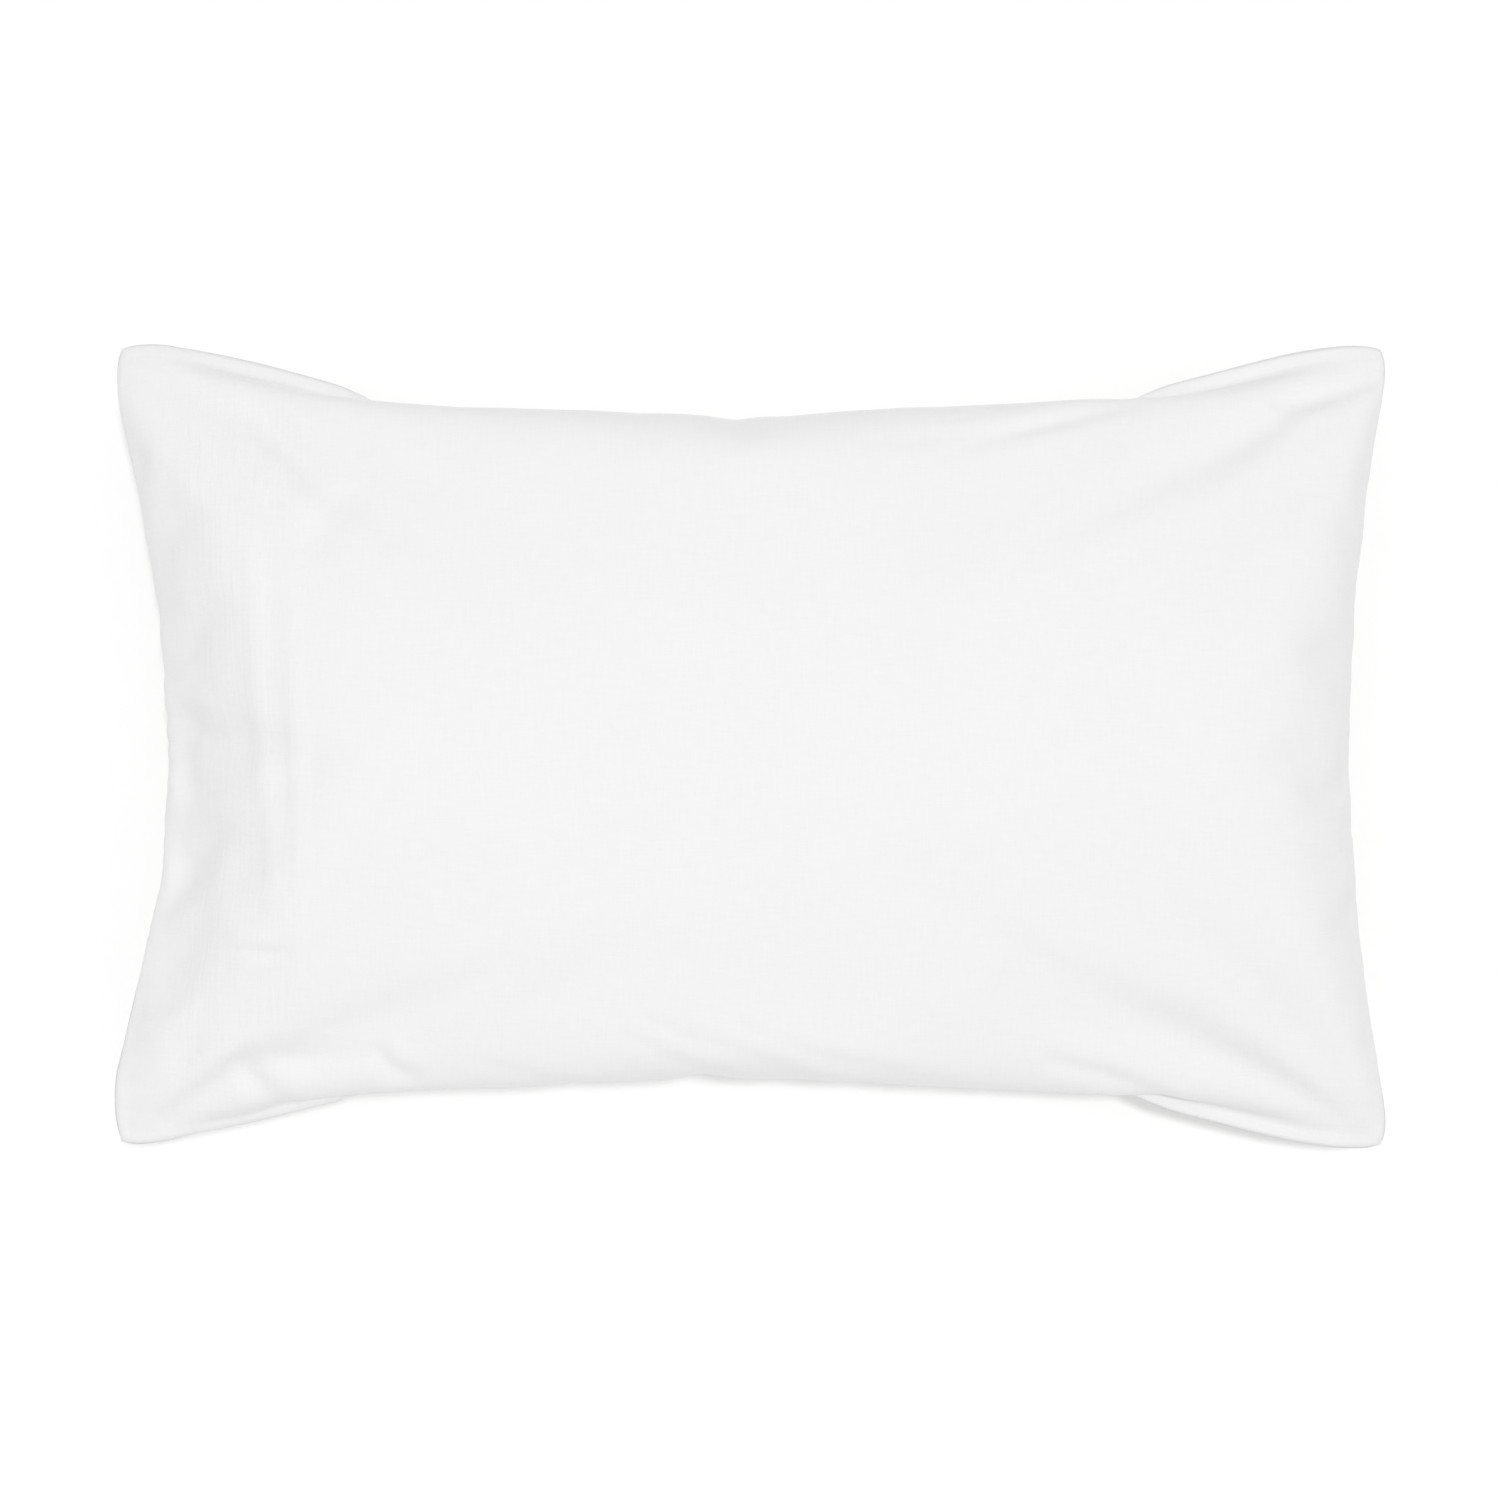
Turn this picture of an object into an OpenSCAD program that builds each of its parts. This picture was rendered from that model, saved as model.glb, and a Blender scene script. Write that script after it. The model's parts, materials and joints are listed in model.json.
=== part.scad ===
// Bed pillow: a filled insert inside a white cotton case that zips shut along one short end.
// The pillow lies flat on its back panel. X runs along its length and the zip is at the -X end.

/* [Pillowcase] */
// Length of the filled case between its corners, before their tips are rounded
case_l = 748; // [600:4:900]
// Width of the filled case between its corners, before their tips are rounded
case_w = 474; // [380:2:560]
// Height of the filled pillow above the surface that it lies on
pillow_h = 180; // [150:5:220]
// How far the zipped end is drawn in at its middle
zip_end_draw = 40; // [22:1:48]
// How far the closed end is drawn in at its middle
closed_end_draw = 29; // [18:1:45]
// How far each long side is drawn in along its middle
side_draw = 42; // [20:1:55]
// Height of the case's seam above the surface that it lies on
seam_z = 84; // [64:1:95]
// Thickness of the case's cloth
case_t = 0.6; // [0.4:0.1:1.2]
// Width of the overlocked seam allowance inside the case
seam_w = 9; // [6:0.5:12]

/* [Insert] */
// Space between the filled insert and the case at the closed end and the long sides
insert_gap = 12; // [11:0.5:18]
// Empty case between the zipped end and the filled insert
slack_l = 43; // [38:1:70]
// Thickness of the insert's ticking
ticking_t = 0.5; // [0.3:0.1:1]
// Thickness of the batting laid round the loose fill
batting_t = 14; // [8:1:20]
// Diameter of the piping in the insert's seam
piping_d = 4; // [3:0.5:6]

/* [Zip] */
// Length of the zip's chain along the end seam
zip_l = 356; // [200:4:380]
// Width of each zip tape
tape_w = 9; // [7:0.5:12]
// Thickness of the tapes
tape_t = 0.5; // [0.3:0.1:0.6]
// Width of the two closed coils together
chain_w = 3; // [2.5:0.1:4]
// Thickness of the coils
chain_t = 2; // [1.6:0.1:2.4]
// Width of the slider across the chain
slider_w = 7; // [6.4:0.1:9]
// Length of the slider along the chain
slider_l = 9; // [8:0.5:12]
// Thickness of the slider's two plates
slider_plate = 0.8; // [0.6:0.1:1.2]
// Length of the pull tab below its eye
pull_l = 17; // [10:1:24]
// Width of the pull tab
pull_w = 5; // [4.4:0.1:6.5]
// Thickness of the pull tab
pull_t = 0.9; // [0.7:0.1:1]

/* [Labels] */
// Width of the care label in the case's end seam
care_label_w = 32; // [20:1:45]
// Width of the fibre content label in the insert's end seam
fibre_label_w = 46; // [30:1:60]
// Thickness of both labels, folded double
label_t = 0.4; // [0.3:0.1:0.6]

/* [Hidden] */

// Clearance between two pieces of cloth that lie on each other
ply_gap = 0.05;
// Clearances between neighbouring layers of the stuffed body, of cloth and of fill
layer_gap = 0.6;
fill_gap = 1.2;
// Clearance between the slider and what it runs on, past its ends at rest, and beside the back's hem
run_gap = 0.2;
rest_gap = 0.5;
back_gap = 1;

// How sharp the corner tips are: a higher number rounds them over less of the edge
tip_power = 16;
// Facets of a full turn: of the end's arc, of the pull tab's pin and of its rounded tip
arc_sides = 200;
pin_sides = 32;
tab_sides = 48;
// Fullness of the stuffed shape along its length, along its width, and at its edges
crown_l = 3.4;
crown_w = 2.6;
crown_edge = 0.6;
// How far the back would hang below the surface if nothing held it up, as a share of the seam's height
press = 0.45;

// The seam is as thick as the slider, which runs under the front panel's lip
slider_h = chain_t + 2 * run_gap + 2 * slider_plate;
lip_gap = 0.5;
chain_z = seam_z - lip_gap - slider_h / 2;
tape_top = chain_z + tape_t / 2;
tape_foot = chain_z - tape_t / 2;
seam_t = slider_h + 2 * ply_gap;
back_z = seam_z - seam_t;

// Insets from the end's edge, counted inwards, of what lies under the lip
hem_w = 6.5;
chain_at = 2 * lip_gap + tape_w + chain_w / 2;
tape_front_at = chain_at - chain_w / 2 - ply_gap - tape_w;
tape_back_at = chain_at + chain_w / 2 + ply_gap;
back_open = chain_at + slider_w / 2 + back_gap;
hem_t = seam_z - tape_top - 2 * ply_gap;

// A pad is a stuffed outline: [length, width, draw at -X, draw at +X, side draw, straight share]
case_straight = 0.4;
case_pad = [case_l, case_w, zip_end_draw, closed_end_draw, side_draw, case_straight];
// The insert is drawn in less than the case, and holds its sides straight for longer
insert_draws = 0.8;
insert_straight = 0.6;
insert_low_x = -case_l / 2 + (1 - insert_draws) * zip_end_draw + slack_l;
insert_high_x = case_l / 2 - (1 - insert_draws) * closed_end_draw - insert_gap;
insert_pad = [insert_high_x - insert_low_x,
              case_w - 2 * (1 - insert_draws) * side_draw - 2 * insert_gap,
              insert_draws * zip_end_draw, insert_draws * closed_end_draw,
              insert_draws * side_draw, insert_straight];
insert_x = (insert_low_x + insert_high_x) / 2;
// The insert's own seam lies lower than the case's
insert_drop = 12;
insert_z = seam_z - insert_drop;
insert_top = pillow_h - case_t - layer_gap;
insert_foot = case_t + layer_gap;

function within(x, low, high) = min(max(x, low), high);
function end_draw(pad, u) = u < 0 ? pad[2] : pad[3];
function end_radius(pad, u) =
    let (draw = end_draw(pad, u))
    (pow(pad[1] / 2, 2) + pow(draw, 2)) / (2 * draw);
// Half length of a pad towards the end that u is at, at the share v of its half width: a circular arc
function end_reach(pad, u, v) =
    let (r = end_radius(pad, u))
    pad[0] / 2 - end_draw(pad, u) + r - sqrt(pow(r, 2) - pow(v * pad[1] / 2, 2));
// Half width of a pad at the share u of its half length: straight, then swinging out to the corners
function side_reach(pad, u) =
    let (turn = within((abs(u) - pad[5]) / (1 - pad[5]), 0, 1))
    pad[1] / 2 - pad[4] * (1 + cos(180 * turn)) / 2;
// Draws the corner tips in so that both edges meet there at 45 degrees
function tip(pad, u, v) =
    let (n = 2 * tip_power)
    1 - pow(abs(u * v), n) * pad[1] / (pad[1] * (n + 1) + pad[0] * n);
// A point of a pad's plan, inset from its outline, with the -X end set back by open_end
function plan(pad, inset, open_end, u, v) =
    [u * (end_reach(pad, u, v) - inset) * tip(pad, u, v) + open_end * (1 - u) / 2,
     v * (side_reach(pad, u) - inset) * tip(pad, u, v)];
function swell(u, v) = pow((1 - pow(abs(u), crown_l)) * (1 - pow(abs(v), crown_w)), crown_edge);
// Shares from -1 to 1 that crowd together towards both ends
function share(i, n) = sin(90 * (2 * i / n - 1));

// Surface points over a pad: they leave the seam plane at z and reach the height top, or foot where lower
function skin(pad, inset, open_end, z, top, foot, n) =
    [for (i = [0 : n[0]], j = [0 : n[1]])
        let (u = share(i, n[0]), v = share(j, n[1]), p = plan(pad, inset, open_end, u, v))
        [p.x, p.y, max(z + (top - z) * swell(u, v), foot)]];
function cells(n, at, up) =
    [for (i = [0 : n[0] - 1], j = [0 : n[1] - 1])
        let (a = at + i * (n[1] + 1) + j, b = a + n[1] + 1)
        each up ? [[a, a + 1, b + 1], [a, b + 1, b]] : [[a, b + 1, a + 1], [a, b, b + 1]]];
function rim(n) = concat(
    [for (i = [0 : n[0] - 1]) i * (n[1] + 1)],
    [for (j = [0 : n[1] - 1]) n[0] * (n[1] + 1) + j],
    [for (i = [n[0] : -1 : 1]) i * (n[1] + 1) + n[1]],
    [for (j = [n[1] : -1 : 1]) j]);
function band(n, at) =
    let (loop = rim(n), count = len(loop))
    [for (k = [0 : count - 1])
        let (a = loop[k], b = loop[(k + 1) % count])
        each [[a, b, at + b], [a, at + b, at + a]]];

// A closed solid between two surfaces that have the same cells, the upper one given first
module stuffed(upper, lower, n) {
    count = len(upper);
    polyhedron(concat(upper, lower), concat(cells(n, 0, true), cells(n, count, false), band(n, count)));
}

// A layer of a pad's upper half, t thick over the crown and rim_t at its rim, which rests on z
module upper_layer(pad, inset, t, rim_t, z, top, n)
    stuffed(skin(pad, inset, 0, z + rim_t, top, 0, n),
            skin(pad, inset + t, 0, z, top - t, 0, n), n);

// A layer of a pad's lower half, hung from z at its rim and flat where it is pressed against foot
module lower_layer(pad, inset, t, rim_t, open_end, z, foot, n) {
    hang = foot - press * z;
    stuffed(skin(pad, inset + t, open_end, z, hang + t, foot + t, n),
            skin(pad, inset, open_end, z - rim_t, hang, foot, n), n);
}

// Half of a pad's outline, from the -X end's middle round one long side and on to the +X end's middle
outline_steps = 40;
function outline(pad, inset) = concat(
    [for (j = [outline_steps / 2 : outline_steps]) plan(pad, inset, 0, -1, share(j, outline_steps))],
    [for (i = [1 : outline_steps]) plan(pad, inset, 0, share(i, outline_steps), 1)],
    [for (j = [outline_steps - 1 : -1 : outline_steps / 2]) plan(pad, inset, 0, 1, share(j, outline_steps))]);
module pad_plan(pad, inset) {
    half = outline(pad, inset);
    polygon(concat(half, [for (k = [len(half) - 2 : -1 : 1]) [half[k].x, -half[k].y]]));
}
// The strip of a pad's plan between two insets
module ring(pad, from, to) difference() {
    pad_plan(pad, from);
    pad_plan(pad, to);
}

// The zip and its hems follow the end's arc, whose centre is outside the pillow
arc_r = end_radius(case_pad, -1);
arc_x = -(case_l / 2 - zip_end_draw + arc_r);
function zip_angle(length) = length / (arc_r + chain_at) * 180 / PI;
zip_end = zip_angle(zip_l / 2);
stop_l = 2;
slider_rest = zip_end - zip_angle(stop_l + slider_l / 2 + rest_gap);

// A rectangular bar along the end's arc, from inset e0 to e1, z0 to z1 and angle a0 to a1
module arc_bar(e0, e1, z0, z1, a0, a1)
    translate([arc_x, 0, 0])
        rotate([0, 0, a0])
            rotate_extrude(angle = a1 - a0, $fn = arc_sides)
                translate([arc_r + e0, z0])
                    square([e1 - e0, z1 - z0]);

// Places its children on the chain at an angle, X across the chain, Y along it and Z up
module on_chain(angle)
    translate([arc_x, 0, 0])
        rotate([0, 0, angle])
            translate([arc_r + chain_at, 0, chain_z])
                children();

module block(size, at) translate(at - size / 2) cube(size);

// ---- Pillowcase ----
case_n = [38, 26];

module case_front_panel()
    color([0.96, 0.96, 0.96])
        upper_layer(case_pad, 0, case_t, case_t, seam_z, pillow_h, case_n);

module case_back_panel()
    color([0.95, 0.95, 0.93])
        lower_layer(case_pad, 0, case_t, case_t, back_open, back_z, 0, case_n);

// The allowances of both panels, sewn together and turned in, round all but the zip
module case_side_seams()
    color([0.94, 0.94, 0.92])
        translate([0, 0, back_z + ply_gap])
            difference() {
                linear_extrude(seam_t - 2 * ply_gap)
                    ring(case_pad, lip_gap, seam_w);
                translate([0, 0, -bay_over])
                    linear_extrude(seam_t + 2 * bay_over)
                        zip_bay();
            }

// The part of the plan where the zip replaces the sewn seam
bay_over = 4;
bay_l = zip_l + 2 * bay_over;
bay_w = zip_end_draw + seam_w + 2 * bay_over;
module zip_bay()
    translate([-case_l / 2 - bay_over, -bay_l / 2])
        square([bay_w, bay_l]);

overlock_w = 0.6;
module case_overlock_thread()
    color([0.97, 0.97, 0.97])
        translate([0, 0, back_z + 2 * ply_gap])
            linear_extrude(seam_t - 4 * ply_gap)
                difference() {
                    ring(case_pad, seam_w + ply_gap, seam_w + overlock_w);
                    zip_bay();
                }

// The front panel's edge, folded under to form the lip that hides the zip
module case_zip_hem_front()
    color([0.96, 0.96, 0.96])
        arc_bar(lip_gap, lip_gap + hem_w, seam_z - ply_gap - hem_t, seam_z - ply_gap, -zip_end, zip_end);

// The back panel's edge, folded in against the zip's tape
module case_zip_hem_back()
    color([0.95, 0.95, 0.93])
        arc_bar(back_open, back_open + hem_w, back_z + ply_gap, label_foot - ply_gap, -zip_end, zip_end);

// This label's fold is caught between the back tape and the hem, and its end hangs inside the case
label_foot = tape_foot - ply_gap - label_t;
care_label_l = 18;
label_tuck = 1;
care_label_at = zip_end / 2;
module case_care_label()
    color([0.98, 0.98, 0.98])
        arc_bar(back_open + label_tuck, back_open + care_label_l, label_foot, label_foot + label_t,
                care_label_at, care_label_at + zip_angle(care_label_w));

// ---- Zip ----
module zip_tape_front()
    color([0.93, 0.93, 0.93])
        arc_bar(tape_front_at, tape_front_at + tape_w, tape_foot, tape_top, -zip_end, zip_end);

module zip_tape_back()
    color([0.93, 0.93, 0.93])
        arc_bar(tape_back_at, tape_back_at + tape_w, tape_foot, tape_top, -zip_end, zip_end);

// Each coil keeps clear of the web that joins the slider's plates
web_t = 0.5;
web_l = 3;
coil_gap = 0.1;
coil_w = (chain_w - web_t) / 2 - coil_gap;
coil_end = zip_end - zip_angle(stop_l);
module coil(from)
    color([0.9, 0.9, 0.9])
        arc_bar(from, from + coil_w, chain_z - chain_t / 2, chain_z + chain_t / 2, -coil_end, coil_end);
module zip_coil_front() coil(chain_at - chain_w / 2);
module zip_coil_back() coil(chain_at + chain_w / 2 - coil_w);

pivot_r = 0.5;
bridge_w = 1.2;
bridge_t = 0.8;
// The pull tab's pin turns in the window between the slider and its bridge
pivot_z = -(slider_h / 2 + run_gap + pivot_r);
bridge_foot = pivot_z - pivot_r - run_gap - bridge_t;

flange_w = 0.8;
module zip_slider() {
    plate_z = (slider_h - slider_plate) / 2;
    flange_foot = tape_t / 2 + run_gap;
    flange_h = slider_h / 2 - flange_foot;
    window_h = -bridge_foot - slider_h / 2;
    bridge_l = slider_l - 2 * bridge_t;
    color([0.82, 0.82, 0.83])
        on_chain(-slider_rest)
            union() {
                for (side = [-1, 1]) {
                    block([slider_w, slider_l, slider_plate], [0, 0, side * plate_z]);
                    for (edge = [-1, 1])
                        block([flange_w, slider_l, flange_h],
                              [edge * (slider_w - flange_w) / 2, 0, side * (flange_foot + flange_h / 2)]);
                    block([bridge_w, bridge_t, window_h],
                          [0, side * (bridge_l - bridge_t) / 2, bridge_foot + window_h / 2]);
                }
                block([web_t, web_l, slider_h], [0, (web_l - slider_l) / 2, 0]);
                block([bridge_w, bridge_l, bridge_t], [0, 0, bridge_foot + bridge_t / 2]);
            }
}

// Hangs from the slider's bridge on its own cross pin
module zip_pull_tab() {
    arm_w = (pull_w - bridge_w - 2 * run_gap) / 2;
    arm_l = slider_l / 2 + 2 * run_gap;
    arm_x = (pull_w - arm_w) / 2;
    plate_l = pull_l - pull_w / 2;
    color([0.85, 0.85, 0.86])
        on_chain(-slider_rest)
            translate([0, 0, pivot_z])
                union() {
                    rotate([0, 90, 0])
                        cylinder(r = pivot_r, h = pull_w, center = true, $fn = pin_sides);
                    for (side = [-1, 1])
                        block([arm_w, pull_t, arm_l + pull_t],
                              [side * arm_x, 0, -(arm_l + pull_t) / 2]);
                    block([pull_w, pull_t, plate_l], [0, 0, -arm_l - plate_l / 2]);
                    translate([0, 0, -arm_l - plate_l])
                        rotate([90, 0, 0])
                            cylinder(r = pull_w / 2, h = pull_t, center = true, $fn = tab_sides);
                }
}

// One stop at the end of each coil, where the closed slider rests
stop_gap = zip_angle(ply_gap);
module zip_top_stops()
    color([0.82, 0.82, 0.83])
        for (from = [chain_at - chain_w / 2, chain_at + chain_w / 2 - coil_w])
            arc_bar(from, from + coil_w, chain_z - chain_t / 2, chain_z + chain_t / 2,
                    -zip_end, -coil_end - stop_gap);

// A single stop across both coils, where the slider ends when the zip is open
module zip_bottom_stop()
    color([0.82, 0.82, 0.83])
        arc_bar(chain_at - chain_w / 2 + ply_gap, chain_at + chain_w / 2 - ply_gap,
                chain_z - chain_t / 2, chain_z + chain_t / 2, coil_end + stop_gap, zip_end);

// A sewn line under a tape
thread_d = 0.4;
stitch_inset = 3;
module zip_stitching(from)
    color([0.97, 0.97, 0.97])
        arc_bar(from, from + thread_d, tape_foot - ply_gap - thread_d, tape_foot - ply_gap,
                -zip_end, zip_end);
module zip_stitching_front() zip_stitching(tape_front_at + stitch_inset);
module zip_stitching_back() zip_stitching(back_open - 2 * thread_d);

// ---- Insert ----
ticking_n = [30, 20];
fill_n = [22, 16];
// The ticking's halves meet the piping from above and below
piping_top = insert_z + piping_d / 2;
piping_foot = insert_z - piping_d / 2;

module at_insert() translate([insert_x, 0, 0]) children();

module insert_ticking_top()
    color([0.92, 0.92, 0.9])
        at_insert()
            upper_layer(insert_pad, 0, ticking_t, ticking_t, piping_top, insert_top, ticking_n);

module insert_ticking_bottom()
    color([0.92, 0.92, 0.9])
        at_insert()
            lower_layer(insert_pad, 0, ticking_t, ticking_t, 0, piping_foot, insert_foot, ticking_n);

module insert_piping()
    color([0.9, 0.9, 0.88])
        at_insert()
            translate([0, 0, piping_foot + ply_gap])
                linear_extrude(piping_d - 2 * ply_gap)
                    ring(insert_pad, -piping_d / 2, piping_d);

fibre_label_l = 12;
fibre_label_y = -70;
fibre_label_x = insert_x - end_reach(insert_pad, -1, 2 * fibre_label_y / insert_pad[1])
                - piping_d / 2 - layer_gap - fibre_label_l;
module insert_fibre_label()
    color([0.98, 0.98, 0.98])
        translate([fibre_label_x, fibre_label_y, insert_z])
            cube([fibre_label_l, fibre_label_w, label_t]);

// The batting starts inside the piping's flange and thins out at its rim
batting_inset = piping_d + fill_gap;
batting_rim = 1;
core_inset = batting_inset + batting_t + fill_gap;
core_rim = 1;
skin_gap = ticking_t + fill_gap;
core_gap = skin_gap + batting_t + fill_gap;

module fill_batting_top()
    color([0.98, 0.98, 0.98])
        at_insert()
            upper_layer(insert_pad, batting_inset, batting_t, batting_rim, piping_top,
                        insert_top - skin_gap, fill_n);

module fill_batting_bottom()
    color([0.98, 0.98, 0.98])
        at_insert()
            lower_layer(insert_pad, batting_inset, batting_t, batting_rim, 0, piping_foot,
                        insert_foot + skin_gap, fill_n);

module fill_core() {
    foot = insert_foot + core_gap;
    upper_z = insert_z + core_rim;
    lower_z = insert_z - core_rim;
    color([0.99, 0.99, 0.99])
        at_insert()
            stuffed(skin(insert_pad, core_inset, 0, upper_z, insert_top - core_gap, 0, fill_n),
                    skin(insert_pad, core_inset, 0, lower_z, foot - press * lower_z, foot, fill_n),
                    fill_n);
}

case_front_panel();
case_back_panel();
case_side_seams();
case_overlock_thread();
case_zip_hem_front();
case_zip_hem_back();
zip_tape_front();
zip_tape_back();
zip_coil_front();
zip_coil_back();
zip_slider();
zip_pull_tab();
zip_top_stops();
zip_bottom_stop();
zip_stitching_front();
zip_stitching_back();
case_care_label();
insert_ticking_top();
insert_ticking_bottom();
insert_piping();
insert_fibre_label();
fill_batting_top();
fill_batting_bottom();
fill_core();
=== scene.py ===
import json
import math
import bpy
import numpy as np
from mathutils import Matrix, Vector, noise
from mathutils.bvhtree import BVHTree


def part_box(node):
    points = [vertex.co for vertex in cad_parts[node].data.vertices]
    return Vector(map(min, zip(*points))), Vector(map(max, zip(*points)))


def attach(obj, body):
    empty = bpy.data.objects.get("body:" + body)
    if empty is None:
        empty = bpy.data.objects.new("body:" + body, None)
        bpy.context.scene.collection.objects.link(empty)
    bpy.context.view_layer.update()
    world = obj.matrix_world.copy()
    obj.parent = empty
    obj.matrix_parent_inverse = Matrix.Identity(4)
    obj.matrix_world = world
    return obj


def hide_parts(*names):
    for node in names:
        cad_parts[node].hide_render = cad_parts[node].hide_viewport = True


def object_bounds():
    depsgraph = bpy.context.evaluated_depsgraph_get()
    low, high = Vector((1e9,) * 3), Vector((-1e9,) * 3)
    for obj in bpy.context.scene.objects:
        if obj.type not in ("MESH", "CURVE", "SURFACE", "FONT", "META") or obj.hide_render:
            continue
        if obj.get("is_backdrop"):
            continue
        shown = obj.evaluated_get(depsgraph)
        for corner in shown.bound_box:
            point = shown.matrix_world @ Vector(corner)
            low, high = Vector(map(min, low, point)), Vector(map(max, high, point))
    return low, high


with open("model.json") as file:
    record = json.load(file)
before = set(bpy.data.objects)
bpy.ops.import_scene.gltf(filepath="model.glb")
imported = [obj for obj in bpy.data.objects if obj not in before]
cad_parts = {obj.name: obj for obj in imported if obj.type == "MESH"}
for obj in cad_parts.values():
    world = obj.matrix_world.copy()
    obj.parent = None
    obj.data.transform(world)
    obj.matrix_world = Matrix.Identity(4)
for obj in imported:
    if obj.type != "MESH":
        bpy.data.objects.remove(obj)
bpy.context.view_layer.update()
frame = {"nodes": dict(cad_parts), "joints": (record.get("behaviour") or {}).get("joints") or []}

travel = next(joint for joint in frame["joints"] if joint["name"] == "zip_travel")
swing = next(joint for joint in frame["joints"] if joint["name"] == "pull_swing")


def deselectAll():
    if bpy.context.object and bpy.context.object.mode != "OBJECT":
        bpy.ops.object.mode_set(mode="OBJECT")
    bpy.ops.object.select_all(action="DESELECT")


def makeActive(piece):
    deselectAll()
    piece.select_set(True)
    bpy.context.view_layer.objects.active = piece


def applyPlace(piece):
    makeActive(piece)
    bpy.ops.object.transform_apply(location=True, rotation=True, scale=True)


def applyModifier(piece, modifier):
    makeActive(piece)
    bpy.ops.object.modifier_apply(modifier=modifier.name)


def applyFiner(piece, boundary="ALL"):
    finer = piece.modifiers.new("finer", "SUBSURF")
    finer.levels = finer.render_levels = 1
    finer.boundary_smooth = boundary
    applyModifier(piece, finer)


def applyThick(piece, thickness, offset=-1):
    thick = piece.modifiers.new("cloth", "SOLIDIFY")
    thick.thickness = thickness
    thick.offset = offset
    applyModifier(piece, thick)


def pointsOf(mesh):
    flat = np.empty(len(mesh.vertices) * 3)
    mesh.vertices.foreach_get("co", flat)
    return flat.reshape(-1, 3)


def putPoints(mesh, points):
    mesh.vertices.foreach_set("co", np.ascontiguousarray(points).ravel())
    mesh.update()


def ease(x, low, high):
    t = np.clip((x - low) / (high - low), 0, 1)
    return t * t * (3 - 2 * t)


def addGrid(name, cellsLong, cellsWide, faceDown=False):
    # a flat grid from -1 to 1 both ways
    deselectAll()
    bpy.ops.mesh.primitive_grid_add(x_subdivisions=cellsLong, y_subdivisions=cellsWide, size=2)
    grid = bpy.context.object
    grid.name = name
    if faceDown:
        bpy.ops.object.mode_set(mode="EDIT")
        bpy.ops.mesh.select_all(action="SELECT")
        bpy.ops.mesh.flip_normals()
        bpy.ops.object.mode_set(mode="OBJECT")
    return grid


studio = dict(lens=135, sensor=36, shotWidth=0.865, aimX=-0.0009, aimY=-0.0014, aimZ=0.09,
              floorSize=8, floorTone=0.86, floorGlow=0.10, skyStrength=0.61,
              sunTilt=(0.085, 0.075), sunStrength=1.1, sunAngle=4,
              softBoxes=[  # place, size, power in watts
                  ((-0.4, 0.8, 2.8), 2.4, 6.0),
                  ((1.7, -0.4, 2.2), 2.0, 4.0),
                  ((-1.6, -1.2, 1.6), 1.2, 3.2),
              ])


def setStudio():
    distance = studio["shotWidth"] * studio["lens"] / studio["sensor"]
    bpy.ops.object.camera_add(location=(studio["aimX"], studio["aimY"], studio["aimZ"] + distance))
    camera = bpy.context.object
    camera.name = "studioCamera"
    camera.data.lens = studio["lens"]
    camera.data.sensor_width = studio["sensor"]
    bpy.context.scene.camera = camera
    bpy.context.scene.view_settings.view_transform = "Standard"
    bpy.ops.mesh.primitive_plane_add(size=studio["floorSize"], location=(0, 0, 0))
    floor = bpy.context.object
    floor.name = "studioFloor"
    floor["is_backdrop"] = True
    target = Vector((0, 0, 0.1))
    for number, (place, size, power) in enumerate(studio["softBoxes"]):
        bpy.ops.object.light_add(type="AREA", location=place)
        lamp = bpy.context.object
        lamp.name = f"softBox{number}"
        lamp.data.size = size
        lamp.data.energy = power
        lamp.rotation_euler = (target - Vector(place)).to_track_quat("-Z", "Y").to_euler()
    bpy.ops.object.light_add(type="SUN", location=(*studio["sunTilt"], 1))
    sun = bpy.context.object
    sun.name = "highSun"
    sun.data.energy = studio["sunStrength"]
    sun.data.angle = math.radians(studio["sunAngle"])
    sun.rotation_euler = Vector((*studio["sunTilt"], 1)).to_track_quat("Z", "Y").to_euler()
    world = bpy.data.worlds.new("paleRoom")
    world.use_nodes = True
    sky = world.node_tree.nodes["Background"]
    sky.inputs["Color"].default_value = (1, 1, 1, 1)
    sky.inputs["Strength"].default_value = studio["skyStrength"]
    bpy.context.scene.world = world
    return floor


class Socket:
    # wraps a node's output so that materials can be written as sums
    def __init__(self, material, socket):
        self.material = material
        self.socket = socket

    def joined(self, operation, *values):
        # a Math node fed with these values, any of which may be sockets
        tree = self.material.node_tree
        node = tree.nodes.new("ShaderNodeMath")
        node.operation = operation
        for place, value in enumerate(values):
            if isinstance(value, Socket):
                tree.links.new(value.socket, node.inputs[place])
            else:
                node.inputs[place].default_value = value
        return Socket(self.material, node.outputs[0])

    def __add__(self, other):
        return self.joined("ADD", self, other)

    def __radd__(self, other):
        return self.joined("ADD", other, self)

    def __sub__(self, other):
        return self.joined("SUBTRACT", self, other)

    def __rsub__(self, other):
        return self.joined("SUBTRACT", other, self)

    def __mul__(self, other):
        return self.joined("MULTIPLY", self, other)

    def __rmul__(self, other):
        return self.joined("MULTIPLY", other, self)

    def __truediv__(self, other):
        return self.joined("DIVIDE", self, other)

    def __pow__(self, other):
        return self.joined("POWER", self, other)

    def maths(self, operation, *others):
        # any other operation, with this socket as its first value
        return self.joined(operation, self, *others)

    def sine(self):
        return self.maths("SINE")


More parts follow.
